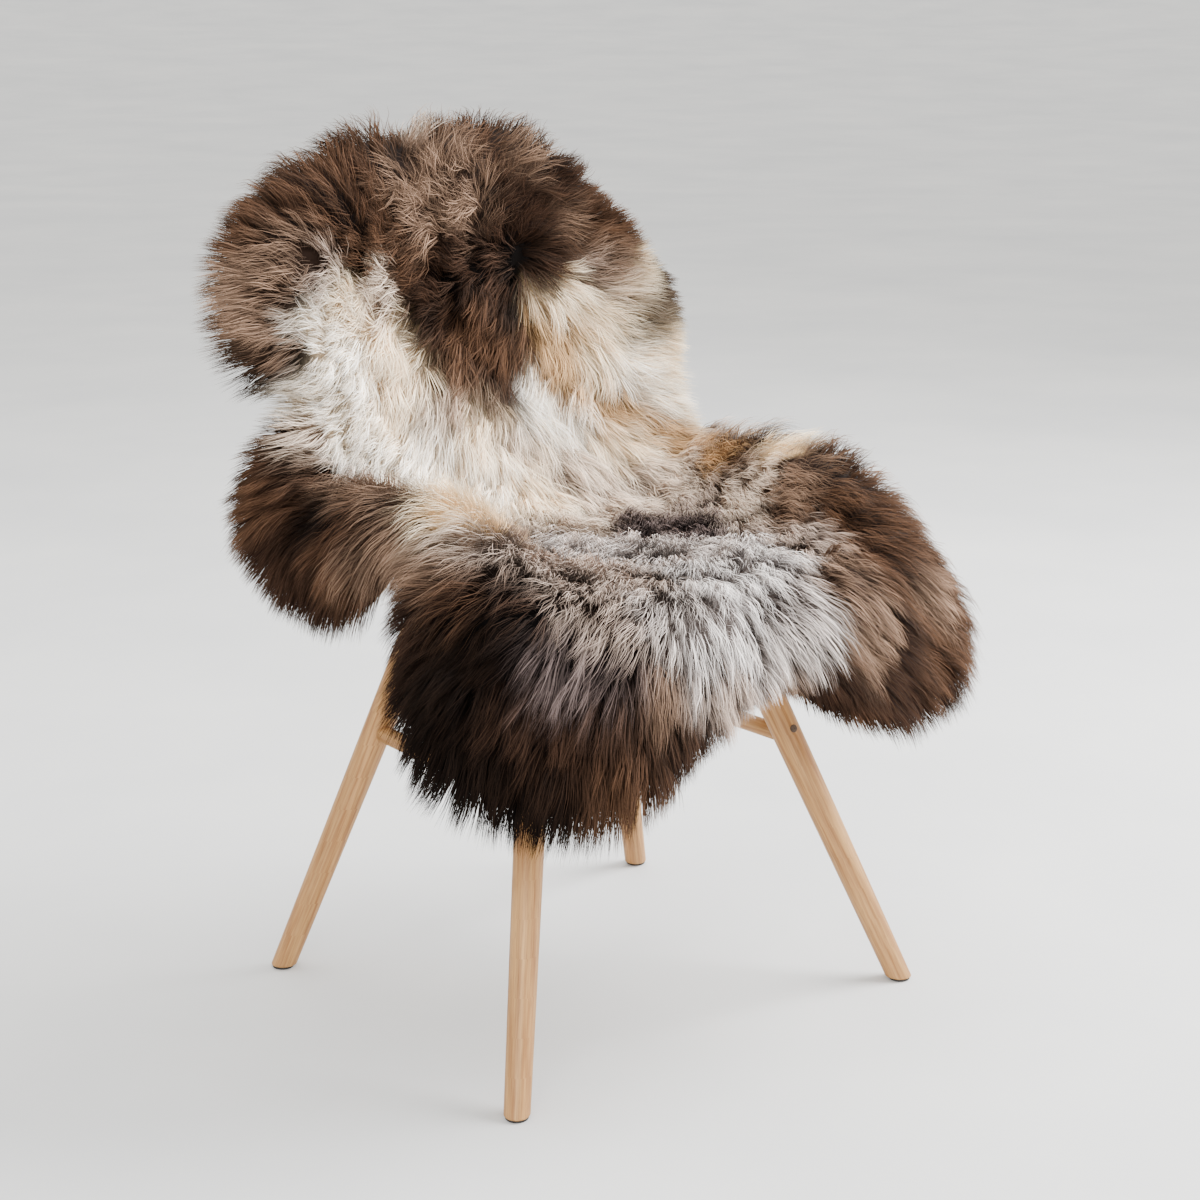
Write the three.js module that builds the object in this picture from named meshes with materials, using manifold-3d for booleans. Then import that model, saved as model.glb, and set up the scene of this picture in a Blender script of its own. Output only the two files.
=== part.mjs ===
// A long-wool sheepskin draped over a plain shell chair on four turned wooden legs.
// Millimetres, +Z up. The chair faces -Y and stands on z = 0; the origin is on the floor, under
// the middle of the whole thing. The sitter's right is -X.
import * as THREE from "three";
import { mergeVertices } from "three/addons/utils/BufferGeometryUtils.js";
import Module from "manifold-3d";

const wasm = await Module();
wasm.setup();

// Driving dimensions of the chair
const SPLAY_SIDE = 0.323;
const LEG_FOOT_RADIUS = 12.5;
const LEG_TAPER = 0.0102;
const LEG_EDGE = 1.5;
const LEG_SIDES = 16;
const GLIDE_RADIUS = 11;
const GLIDE_THICKNESS = 2.5;
const GAP = 0.3;
const RUNG_RADIUS = 9;
const RUNG_SIDES = 12;
const RUNG_END_GAP = 1;
const RUNG_END_SIDES = 24;
const SIDE_RUNG_Z = 263;
const BACK_RUNG_Z = 292;
const BATTEN_HALF_LENGTH = 144;
const BATTEN_HALF_DEPTH = 21;
const BATTEN_STOCK = 100;
const SHELL_THICKNESS = 6;
const SHELL_LIP = { y: -226, z: 440, heading: 25 };

// The four legs: where each foot's middle is, how far the leg leans to the front or back per unit
// of height, and the height of its top
const LEGS = [
  { name: "back_right", x: -243.5, y: 215.5, lean: -0.248, top: 428 },
  { name: "front_right", x: -250.5, y: -215.5, lean: 0.339, top: 400 },
  { name: "front_left", x: 250.5, y: -215.5, lean: 0.339, top: 400 },
  { name: "back_left", x: 243.5, y: 215.5, lean: -0.248, top: 428 },
];

// Driving dimensions of the skin
const CLEARANCE = 3;
const WOOL_DEPTH = 46;
const WOOL_LUMP = 8;
const WOOL_ROUNDING = 52;
const RIM_FACE = 8;
const EDGE_GAP = 6;
const BEND_SHARE = 0.8;
const BEND_STEPS = 5;
const HANG_STEPS = 2;
const RINGS = BEND_STEPS + HANG_STEPS;

// The lumps in the wool are two waves that cross; each length is what one radian of a wave takes
const LUMP_ALONG = { x: 19, z: 41 };
const LUMP_ACROSS = { x: 53, y: -29, z: 23 };

// Driving dimensions of the locks at the skin's rim
const STRIP_GAP = 0.5;
const STRIP_WIDTH = 8;
const STRIP_HALF_HEIGHT = 3.4;
const STRIP_END = 0.1;
const LOCK_PITCH = 22;
const LOCK_LENGTH = 34;
const LOCK_LENGTH_SPREAD = 0.2;
const LOCK_HALF_WIDTH = 9;
const LOCK_HALF_HEIGHT = 5;
const LOCK_DROOP = 9;
const LOCK_SWAY = 5;
const LOCK_ROOT_DEPTH = 6.5;

const WELD = 1e-3;
const NORMAL_STEP = 1;

const degrees = (angle) => (angle * Math.PI) / 180;

// The profile along the middle of the shell, from its front lip up to the top of its back.
// Each piece is an arc: its length, and how far it turns upward, in degrees.
const SHELL_PROFILE = [
  { piece: "front lip", length: 42, turn: -27 },
  { piece: "front of the seat", length: 130, turn: -1 },
  { piece: "back of the seat", length: 104, turn: 3 },
  { piece: "bend into the back", length: 156, turn: 72 },
  { piece: "small of the back", length: 107, turn: 6 },
  { piece: "upper back", length: 120, turn: 5 },
  { piece: "top of the back", length: 72, turn: 2 },
];
const SHELL_LENGTH = SHELL_PROFILE.reduce((sum, arc) => sum + arc.length, 0);

// The shell's cross sections, by distance from the front lip along the profile: a flat stretch from
// the middle outwards, then an arc that rises by an angle in degrees up to the rim
const SECTIONS = [
  { at: 0, flat: 142, curve: 46, rise: 6 },
  { at: 60, flat: 108, curve: 94, rise: 30 },
  { at: 170, flat: 96, curve: 138, rise: 60 },
  { at: 240, flat: 94, curve: 144, rise: 57 },
  { at: 320, flat: 92, curve: 142, rise: 45 },
  { at: 420, flat: 90, curve: 140, rise: 31 },
  { at: 520, flat: 90, curve: 134, rise: 22 },
  { at: 650, flat: 86, curve: 106, rise: 16 },
  { at: 731, flat: 78, curve: 74, rise: 10 },
];
const LIP_CORNER = 58;
const TOP_CORNER = 92;
const CORNER_POWER = 3.5;
const SHELL_COLUMNS = 14;
const SHELL_ROWS = 24;

// How far the skin reaches past the edge of the shell, through what angle it turns down over that
// edge and over what length it bends, going along each side of the shell's outline
const PAST_THE_LIP = [
  { place: -1, overhang: 178, turn: 86, bend: 52 },
  { place: -0.72, overhang: 154, turn: 62, bend: 40 },
  { place: -0.4, overhang: 108, turn: 58, bend: 32 },
  { place: 0.05, overhang: 72, turn: 60, bend: 30 },
  { place: 0.45, overhang: 110, turn: 58, bend: 32 },
  { place: 0.75, overhang: 140, turn: 56, bend: 40 },
  { place: 1, overhang: 164, turn: 74, bend: 52 },
];
const PAST_THE_RIGHT_RIM = [
  { place: 0, overhang: 178, turn: 86, bend: 52 },
  { place: 46, overhang: 122, turn: 102, bend: 48 },
  { place: 96, overhang: 64, turn: 130, bend: 46 },
  { place: 134, overhang: 46, turn: 138, bend: 44 },
  { place: 184, overhang: 94, turn: 142, bend: 44 },
  { place: 250, overhang: 112, turn: 140, bend: 44 },
  { place: 330, overhang: 102, turn: 128, bend: 44 },
  { place: 400, overhang: 98, turn: 104, bend: 44 },
  { place: 460, overhang: 88, turn: 84, bend: 44 },
  { place: 510, overhang: 64, turn: 70, bend: 44 },
  { place: 545, overhang: 32, turn: 62, bend: 44 },
  { place: 574, overhang: 12, turn: 56, bend: 44 },
  { place: 602, overhang: 28, turn: 52, bend: 44 },
  { place: 640, overhang: 60, turn: 48, bend: 44 },
  { place: 685, overhang: 76, turn: 46, bend: 44 },
  { place: 731, overhang: 86, turn: 60, bend: 50 },
];
const PAST_THE_LEFT_RIM = [
  { place: 0, overhang: 164, turn: 74, bend: 52 },
  { place: 60, overhang: 126, turn: 98, bend: 48 },
  { place: 120, overhang: 92, turn: 130, bend: 46 },
  { place: 190, overhang: 78, turn: 142, bend: 44 },
  { place: 270, overhang: 98, turn: 140, bend: 44 },
  { place: 340, overhang: 94, turn: 128, bend: 44 },
  { place: 400, overhang: 58, turn: 104, bend: 44 },
  { place: 450, overhang: 22, turn: 86, bend: 44 },
  { place: 520, overhang: 10, turn: 70, bend: 44 },
  { place: 560, overhang: 18, turn: 60, bend: 44 },
  { place: 605, overhang: 40, turn: 52, bend: 44 },
  { place: 660, overhang: 32, turn: 56, bend: 44 },
  { place: 731, overhang: 20, turn: 80, bend: 46 },
];
const PAST_THE_TOP = [
  { place: -1, overhang: 86, turn: 60, bend: 50 },
  { place: -0.75, overhang: 100, turn: 140, bend: 62 },
  { place: -0.4, overhang: 124, turn: 178, bend: 53 },
  { place: 0.2, overhang: 120, turn: 178, bend: 53 },
  { place: 0.55, overhang: 78, turn: 168, bend: 50 },
  { place: 0.8, overhang: 36, turn: 120, bend: 46 },
  { place: 1, overhang: 20, turn: 80, bend: 46 },
];

// Strips of rim locks, by the points of the skin's outline that each runs between, once round from
// the sitter's right end of the front hem. In the hollows of the outline there are none.
const STRIPS = [
  { name: "hem_1", from: 0, to: 4 },
  { name: "hem_2", from: 4, to: 7 },
  { name: "hem_3", from: 7, to: 10 },
  { name: "hem_4", from: 10, to: 14 },
  { name: "left_1", from: 14, to: 17 },
  { name: "left_2", from: 19, to: 23 },
  { name: "left_3", from: 23, to: 27 },
  { name: "left_4", from: 32, to: 37 },
  { name: "nape_1", from: 41, to: 45 },
  { name: "nape_2", from: 45, to: 49 },
  { name: "right_1", from: 52, to: 56 },
  { name: "right_2", from: 59, to: 63 },
  { name: "right_3", from: 63, to: 67 },
  { name: "right_4", from: 67, to: 71 },
  { name: "right_5", from: 73, to: 76 },
];

// A value from a table's column, on a smooth curve that never overshoots its rows
function readTable(rows, key, column, position) {
  const last = rows.length - 1;
  if (position <= rows[0][key]) return rows[0][column];
  if (position >= rows[last][key]) return rows[last][column];
  const slope = (k) => (rows[k + 1][column] - rows[k][column]) / (rows[k + 1][key] - rows[k][key]);
  const tangent = (k) => {
    if (k === 0 || k === last) return 0;
    const before = slope(k - 1);
    const after = slope(k);
    return before * after <= 0 ? 0 : (2 * before * after) / (before + after);
  };
  const k = rows.findIndex((row, index) => index < last && position < rows[index + 1][key]);
  const span = rows[k + 1][key] - rows[k][key];
  const t = (position - rows[k][key]) / span;
  const rest = 1 - t;
  return (
    rows[k][column] * rest * rest * (1 + 2 * t) +
    rows[k + 1][column] * t * t * (3 - 2 * t) +
    tangent(k) * span * t * rest * rest -
    tangent(k + 1) * span * t * t * rest
  );
}

// The point and heading reached after walking a distance along a chain of arcs
function walk(arcs, distance, start = { forward: 0, up: 0, heading: 0 }) {
  let { forward, up, heading } = start;
  let left = distance;
  for (const arc of arcs) {
    const step = Math.min(left, arc.length);
    const turn = (arc.turn * step) / arc.length;
    const half = degrees(turn / 2);
    const chord = half === 0 ? step : (step * Math.sin(half)) / half;
    forward += chord * Math.cos(degrees(heading + turn / 2));
    up += chord * Math.sin(degrees(heading + turn / 2));
    heading += turn;
    left -= step;
    if (left <= 0) break;
  }
  return { forward, up, heading };
}

// The shell's sitting surface at a distance along its profile and a distance across it
function surface(at, across) {
  const lip = { forward: SHELL_LIP.y, up: SHELL_LIP.z, heading: SHELL_LIP.heading };
  const middle = walk(SHELL_PROFILE, at, lip);
  const tilt = degrees(middle.heading + 90);
  const section = [
    { length: readTable(SECTIONS, "at", "flat", at), turn: 0 },
    {
      length: readTable(SECTIONS, "at", "curve", at) + NORMAL_STEP,
      turn: readTable(SECTIONS, "at", "rise", at),
    },
  ];
  const { forward, up } = walk(section, Math.abs(across));
  return new THREE.Vector3(
    forward * Math.sign(across),
    middle.forward + up * Math.cos(tilt),
    middle.up + up * Math.sin(tilt),
  );
}

// The direction square to the sitting surface, on the sitter's side
function normal(at, across) {
  const rear = Math.max(at - NORMAL_STEP, 0);
  const front = Math.min(rear + 2 * NORMAL_STEP, SHELL_LENGTH);
  const along = surface(front, across).sub(surface(rear, across));
  const sideways = surface(at, across + NORMAL_STEP).sub(surface(at, across - NORMAL_STEP));
  return sideways.cross(along).normalize();
}

// A grid point of the shell: its corners are rounded where the outline turns in
function shellSpot(column, row) {
  const share = (column / SHELL_COLUMNS) * 2 - 1;
  const corner = Math.abs(share) ** CORNER_POWER;
  const first = LIP_CORNER * corner;
  const last = SHELL_LENGTH - TOP_CORNER * corner;
  const at = first + (last - first) * (row / SHELL_ROWS);
  const halfWidth = readTable(SECTIONS, "at", "flat", at) + readTable(SECTIONS, "at", "curve", at);
  return { share, at, across: share * halfWidth, halfWidth };
}

// The same shape with its seams closed
function welded(geometry) {
  const bare = geometry.clone();
  bare.deleteAttribute("normal");
  bare.deleteAttribute("uv");
  return mergeVertices(bare, WELD);
}

// A block of grid faces bent into shape: each corner goes where the function puts it, by its column,
// its row and whether it is on the block's near side, and whether it is on its upper side
function bentBlock(columns, rows, corner) {
  const block = welded(new THREE.BoxGeometry(1, 1, 1, columns, rows, 1));
  const places = block.attributes.position;
  for (let k = 0; k < places.count; k++) {
    const column = Math.round((places.getX(k) + 0.5) * columns);
    const row = Math.round((places.getY(k) + 0.5) * rows);
    const place = corner(column, row, places.getZ(k) > 0);
    places.setXYZ(k, place.x, place.y, place.z);
  }
  return block;
}

// The shell as a closed slab between two heights above its sitting surface
function shellSlab(under, upper) {
  return bentBlock(SHELL_COLUMNS, SHELL_ROWS, (column, row, isUpper) => {
    const { at, across } = shellSpot(column, row);
    return surface(at, across).addScaledVector(normal(at, across), isUpper ? upper : under);
  });
}

function toSolid(geometry) {
  const closed = welded(geometry);
  return new wasm.Manifold(
    new wasm.Mesh({
      numProp: 3,
      vertProperties: closed.attributes.position.array,
      triVerts: new Uint32Array(closed.index.array),
    }),
  );
}

function toGeometry(solid) {
  const mesh = solid.getMesh();
  const geometry = new THREE.BufferGeometry();
  geometry.setAttribute("position", new THREE.BufferAttribute(mesh.vertProperties, 3));
  geometry.setIndex(new THREE.BufferAttribute(mesh.triVerts, 1));
  geometry.computeVertexNormals();
  return geometry;
}

// The points of the shell's outline, once round: along the lip, up the sitter's left rim, back
// along the top and down the sitter's right rim, each with the skin's way over the edge there
function shellOutline() {
  const grid = [];
  for (let k = 0; k < SHELL_COLUMNS; k++) grid.push({ column: k, row: 0, table: PAST_THE_LIP });
  for (let k = 0; k < SHELL_ROWS; k++) {
    grid.push({ column: SHELL_COLUMNS, row: k, table: PAST_THE_LEFT_RIM });
  }
  for (let k = SHELL_COLUMNS; k > 0; k--) grid.push({ column: k, row: SHELL_ROWS, table: PAST_THE_TOP });
  for (let k = SHELL_ROWS; k > 0; k--) grid.push({ column: 0, row: k, table: PAST_THE_RIGHT_RIM });
  const points = grid.map(({ column, row, table }) => {
    const { share, at, across } = shellSpot(column, row);
    const alongRim = table === PAST_THE_LEFT_RIM || table === PAST_THE_RIGHT_RIM;
    const position = alongRim ? (row / SHELL_ROWS) * SHELL_LENGTH : share;
    const read = (name) => readTable(table, "place", name, position);
    const drape = { overhang: read("overhang"), turn: read("turn"), bend: read("bend") };
    return { place: surface(at, across), up: normal(at, across), ...drape };
  });
  return points.map((point, k) => {
    const before = points[(k + points.length - 1) % points.length].place;
    const after = points[(k + 1) % points.length].place;
    const out = after.clone().sub(before).cross(point.up).normalize();
    return { ...point, out };
  });
}
const EDGE = shellOutline();

// A point of the skin past the shell's edge: ring 0 is the edge itself, the last ring its own rim
function pastEdge(k, ring) {
  const { place, up, out, overhang, turn, bend } = EDGE[k];
  const turned = Math.min(EDGE_GAP + bend, overhang * BEND_SHARE);
  const beyond = ring - BEND_STEPS;
  const distance =
    beyond <= 0 ? (turned * ring) / BEND_STEPS : turned + ((overhang - turned) * beyond) / HANG_STEPS;
  const arcs = [
    { length: EDGE_GAP, turn: 0 },
    { length: bend, turn: -turn },
    { length: overhang, turn: 0 },
  ];
  const step = walk(arcs, distance);
  const heading = degrees(step.heading);
  const point = place.clone().addScaledVector(out, step.forward).addScaledVector(up, step.up);
  const square = up.clone().multiplyScalar(Math.cos(heading)).addScaledVector(out, -Math.sin(heading));
  const ahead = out.clone().multiplyScalar(Math.cos(heading)).addScaledVector(up, Math.sin(heading));
  return { place: point, up: square, ahead, inward: overhang - distance };
}

// The wool's depth: full inside, rounded off towards the rim, with shallow lumps where locks clump
function woolDepth(place, inward) {
  const fall = 1 - Math.min(inward, WOOL_ROUNDING) / WOOL_ROUNDING;
  const along = place.x / LUMP_ALONG.x + place.z / LUMP_ALONG.z;
  const across = place.x / LUMP_ACROSS.x + place.y / LUMP_ACROSS.y + place.z / LUMP_ACROSS.z;
  const lumps = Math.sin(along) * Math.sin(across);
  const depth = WOOL_DEPTH + WOOL_LUMP * lumps;
  return RIM_FACE + (depth - RIM_FACE) * Math.sqrt(Math.max(0, 1 - fall * fall));
}

// The skin: the inner grid lies on the shell, and rings of points go on over its edge. Grown by a
// small margin, it is what its neighbours are cut back to.
function skin(margin = 0) {
  const places = [];
  const keep = (place, up, height) => {
    const corner = place.clone().addScaledVector(up, height);
    places.push(corner.x, corner.y, corner.z);
  };
  const inner = (column, row) => row * (SHELL_COLUMNS + 1) + column;
  const innerCount = (SHELL_COLUMNS + 1) * (SHELL_ROWS + 1);
  const layerCount = innerCount + RINGS * EDGE.length;
  for (const upper of [false, true]) {
    for (let row = 0; row <= SHELL_ROWS; row++) {
      for (let column = 0; column <= SHELL_COLUMNS; column++) {
        const { share, at, across, halfWidth } = shellSpot(column, row);
        const table = share < 0 ? PAST_THE_RIGHT_RIM : PAST_THE_LEFT_RIM;
        const position = (row / SHELL_ROWS) * SHELL_LENGTH;
        const inward = readTable(table, "place", "overhang", position) + halfWidth - Math.abs(across);
        const place = surface(at, across);
        const height = CLEARANCE + (upper ? woolDepth(place, inward) + margin : -margin);
        keep(place, normal(at, across), height);
      }
    }
    for (let ring = 1; ring <= RINGS; ring++) {
      for (let k = 0; k < EDGE.length; k++) {
        const { place, up, ahead, inward } = pastEdge(k, ring);
        if (ring === RINGS) place.addScaledVector(ahead, margin);
        keep(place, up, CLEARANCE + (upper ? woolDepth(place, inward) + margin : -margin));
      }
    }
  }
  const edgeOfGrid = [];
  for (let k = 0; k < SHELL_COLUMNS; k++) edgeOfGrid.push(inner(k, 0));
  for (let k = 0; k < SHELL_ROWS; k++) edgeOfGrid.push(inner(SHELL_COLUMNS, k));
  for (let k = SHELL_COLUMNS; k > 0; k--) edgeOfGrid.push(inner(k, SHELL_ROWS));
  for (let k = SHELL_ROWS; k > 0; k--) edgeOfGrid.push(inner(0, k));
  const ringPoint = (ring, k) => (ring === 0 ? edgeOfGrid[k] : innerCount + (ring - 1) * EDGE.length + k);
  const faces = [];
  const quad = (a, b, c, d) => {
    faces.push([a, b, c, d].map((point) => point + layerCount));
    faces.push([a, d, c, b]);
  };
  for (let row = 0; row < SHELL_ROWS; row++) {
    for (let column = 0; column < SHELL_COLUMNS; column++) {
      const next = column + 1;
      quad(inner(column, row), inner(next, row), inner(next, row + 1), inner(column, row + 1));
    }
  }
  for (let k = 0; k < EDGE.length; k++) {
    const next = (k + 1) % EDGE.length;
    for (let ring = 0; ring < RINGS; ring++) {
      const further = ring + 1;
      quad(ringPoint(ring, next), ringPoint(ring, k), ringPoint(further, k), ringPoint(further, next));
    }
    const [a, b] = [ringPoint(RINGS, k), ringPoint(RINGS, next)];
    faces.push([a, b, b + layerCount, a + layerCount]);
  }
  const geometry = new THREE.BufferGeometry();
  geometry.setAttribute("position", new THREE.BufferAttribute(new Float32Array(places), 3));
  geometry.setIndex(faces.flatMap(([a, b, c, d]) => [a, b, c, a, c, d]));
  geometry.computeVertexNormals();
  return geometry;
}

// The skin's own outline: the middle of its rim's face, with the directions out, up and along there
function skinRim() {
  const points = EDGE.map((_, k) => {
    const { place, up } = pastEdge(k, RINGS);
    return { place: place.clone().addScaledVector(up, CLEARANCE + RIM_FACE / 2), up };
  });
  return points.map((point, k) => {
    const before = points[(k + points.length - 1) % points.length].place;
    const after = points[(k + 1) % points.length].place;
    const along = after.clone().sub(before).normalize();
    const out = along.clone().cross(point.up).normalize();
    return { place: point.place, along, out, up: out.clone().cross(along) };
  });
}

// A strip of backing along some of the outline's points, kept off the skin by a small gap
function backing(points) {
  return bentBlock(points.length - 1, 1, (column, row, isUpper) => {
    const { place, out, up } = points[column];
    const corner = place.clone().addScaledVector(out, STRIP_GAP + row * STRIP_WIDTH);
    return corner.addScaledVector(up, isUpper ? STRIP_HALF_HEIGHT : -STRIP_HALF_HEIGHT);
  });
}

// A lock: three-sided, tapering to a point that droops a little
function lock(root, out, up, along, length, sway) {
  const geometry = new THREE.ConeGeometry(1, 1, 3, 1);
  const places = geometry.attributes.position;
  for (let k = 0; k < places.count; k++) {
    const share = places.getY(k) + 0.5;
    const point = root.clone();
    point.addScaledVector(out, share * length - LOCK_ROOT_DEPTH);
    point.addScaledVector(along, places.getX(k) * LOCK_HALF_WIDTH + sway * share);
    point.addScaledVector(up, places.getZ(k) * LOCK_HALF_HEIGHT);
    point.z -= LOCK_DROOP * share;
    places.setXYZ(k, point.x, point.y, point.z);
  }
  return geometry;
}

// Turns a closed mesh the right way out where its frame of directions was left-handed
function outwardFacing(geometry) {
  const solid = geometry.clone();
  const flat = solid.index ? solid.toNonIndexed() : solid;
  const places = flat.attributes.position;
  const [a, b, c] = [new THREE.Vector3(), new THREE.Vector3(), new THREE.Vector3()];
  let volume = 0;
  for (let k = 0; k < places.count; k += 3) {
    a.fromBufferAttribute(places, k);
    b.fromBufferAttribute(places, k + 1);
    c.fromBufferAttribute(places, k + 2);
    volume += a.dot(b.cross(c));
  }
  if (volume >= 0) return geometry;
  const index = geometry.index.array;
  for (let k = 0; k < index.length; k += 3) [index[k], index[k + 1]] = [index[k + 1], index[k]];
  return geometry;
}

// A place part of the way along a row of points
function between(points, position) {
  const k = Math.min(Math.floor(position), points.length - 2);
  const t = position - k;
  const mix = (name) => points[k][name].clone().lerp(points[k + 1][name], t);
  return {
    place: mix("place"),
    out: mix("out").normalize(),
    up: mix("up").normalize(),
    along: mix("along").normalize(),
  };
}

// A strip of locks fused into its backing, cut back from the skin
function lockStrip(points, skinCutter) {
  const steps = points.length - 1;
  let run = 0;
  for (let k = 0; k < steps; k++) run += points[k].place.distanceTo(points[k + 1].place);
  const count = Math.round(run / LOCK_PITCH);
  let strip = toSolid(outwardFacing(backing(points)));
  for (let k = 0; k < count; k++) {
    const { place, out, up, along } = between(points, ((k + 0.5) / count) * steps);
    const root = place.clone().addScaledVector(out, STRIP_GAP + STRIP_WIDTH);
    const length = LOCK_LENGTH * (1 - LOCK_LENGTH_SPREAD * (1 - Math.sin(2.4 * k)));
    const sway = LOCK_SWAY * Math.sin(1.7 * k + 1);
    strip = strip.add(toSolid(outwardFacing(lock(root, out, up, along, length, sway))));
  }
  const pieces = strip.subtract(skinCutter).decompose();
  return toGeometry(pieces.reduce((a, b) => (a.volume() >= b.volume() ? a : b)));
}

// Materials
const wool = new THREE.MeshStandardMaterial({ color: 0x8a7260, roughness: 0.95, metalness: 0 });
const tips = new THREE.MeshStandardMaterial({ color: 0x5b463a, roughness: 0.95, metalness: 0 });
const plastic = new THREE.MeshStandardMaterial({ color: 0xdfe3e2, roughness: 0.5, metalness: 0 });
const oak = new THREE.MeshStandardMaterial({ color: 0xc39a63, roughness: 0.55, metalness: 0 });
const rubber = new THREE.MeshStandardMaterial({ color: 0x2b2b2b, roughness: 0.8, metalness: 0 });

const chair = new THREE.Group();
function piece(name, geometry, material) {
  const mesh = new THREE.Mesh(geometry, material);
  mesh.name = name;
  chair.add(mesh);
}

// The four legs: tapered rounds leaning in, cut level at the floor and under the battens
const legAxis = (leg, z) =>
  new THREE.Vector3(leg.x - Math.sign(leg.x) * SPLAY_SIDE * z, leg.y + leg.lean * z, z);
const legRadius = (z) => LEG_FOOT_RADIUS + LEG_TAPER * z;

function legGeometry(leg) {
  const bottom = GLIDE_THICKNESS + GAP;
  const height = leg.top - bottom;
  const outlinePoints = [
    new THREE.Vector2(0, 0),
    new THREE.Vector2(LEG_FOOT_RADIUS - LEG_EDGE, 0),
    new THREE.Vector2(LEG_FOOT_RADIUS, LEG_EDGE),
    new THREE.Vector2(legRadius(leg.top), height),
    new THREE.Vector2(0, height),
  ];
  const geometry = new THREE.LatheGeometry(outlinePoints, LEG_SIDES);
  geometry.rotateX(Math.PI / 2);
  const places = geometry.attributes.position;
  const slope = new THREE.Vector2(-Math.sign(leg.x) * SPLAY_SIDE, leg.lean);
  const stretch = Math.hypot(1, slope.length()) - 1;
  const heading = slope.clone().normalize();
  for (let k = 0; k < places.count; k++) {
    const z = places.getZ(k) + bottom;
    const inLean = places.getX(k) * heading.x + places.getY(k) * heading.y;
    const centre = legAxis(leg, z);
    const x = centre.x + places.getX(k) + heading.x * inLean * stretch;
    const y = centre.y + places.getY(k) + heading.y * inLean * stretch;
    places.setXYZ(k, x, y, z);
  }
  return geometry;
}

for (const leg of LEGS) {
  piece(`leg_${leg.name}`, legGeometry(leg), oak);
  const glide = new THREE.CylinderGeometry(GLIDE_RADIUS, GLIDE_RADIUS, GLIDE_THICKNESS, LEG_SIDES);
  glide.rotateX(Math.PI / 2);
  const foot = legAxis(leg, GLIDE_THICKNESS / 2);
  glide.translate(foot.x, foot.y, foot.z);
  piece(`glide_${leg.name}`, glide, rubber);
}

// A round rod from one point to another
function rod(start, end, radius, sides) {
  const geometry = new THREE.CylinderGeometry(radius, radius, start.distanceTo(end), sides);
  const upright = new THREE.Vector3(0, 1, 0);
  const direction = end.clone().sub(start).normalize();
  geometry.applyQuaternion(new THREE.Quaternion().setFromUnitVectors(upright, direction));
  const middle = start.clone().lerp(end, 0.5);
  return geometry.translate(middle.x, middle.y, middle.z);
}

// The rungs: round rods whose ends are hollowed to fit the legs they meet
function rung(name, from, to, z) {
  let solid = toSolid(rod(legAxis(from, z), legAxis(to, z), RUNG_RADIUS, RUNG_SIDES));
  for (const leg of [from, to]) {
    const radius = legRadius(z) + RUNG_END_GAP;
    const cutter = rod(legAxis(leg, 0), legAxis(leg, leg.top), radius, RUNG_END_SIDES);
    solid = solid.subtract(toSolid(cutter));
  }
  piece(name, toGeometry(solid), oak);
}
const [backRight, frontRight, frontLeft, backLeft] = LEGS;
rung("rung_right_side", backRight, frontRight, SIDE_RUNG_Z);
rung("rung_left_side", backLeft, frontLeft, SIDE_RUNG_Z);
rung("rung_back", backRight, backLeft, BACK_RUNG_Z);

// The shell
piece("seat_shell", shellSlab(-SHELL_THICKNESS, 0), plastic);

// The battens: their tops are cut to the underside of the shell
const shellCutter = toSolid(shellSlab(-SHELL_THICKNESS - GAP, BATTEN_STOCK / 2));
function batten(name, leg) {
  const stock = new THREE.BoxGeometry(2 * BATTEN_HALF_LENGTH, 2 * BATTEN_HALF_DEPTH, BATTEN_STOCK);
  stock.translate(0, legAxis(leg, leg.top).y, leg.top + GAP + BATTEN_STOCK / 2);
  const parts = toSolid(stock).subtract(shellCutter).decompose();
  const lowest = parts.reduce((a, b) => (a.boundingBox().min[2] <= b.boundingBox().min[2] ? a : b));
  piece(name, toGeometry(lowest), oak);
}
batten("batten_front", frontLeft);
batten("batten_back", backLeft);

// The skin and the strips of locks round its rim
piece("sheepskin", skin(), wool);
const skinCutter = toSolid(skin(GAP));
const rim = skinRim();
const ring = [...rim, rim[0]];
for (const { name, from, to } of STRIPS) {
  const points = [];
  for (let k = from; k <= to; k++) {
    points.push(between(ring, Math.min(Math.max(k, from + STRIP_END), to - STRIP_END)));
  }
  piece(`locks_${name}`, lockStrip(points, skinCutter), tips);
}

// The origin goes to the floor under the middle of the whole thing
const box = new THREE.Box3().setFromObject(chair);
chair.position.set(-(box.min.x + box.max.x) / 2, -(box.min.y + box.max.y) / 2, 0);

export default chair;
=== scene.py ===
import math

import bmesh
import bpy
import numpy as np
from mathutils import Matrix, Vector
from mathutils.bvhtree import BVHTree


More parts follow.
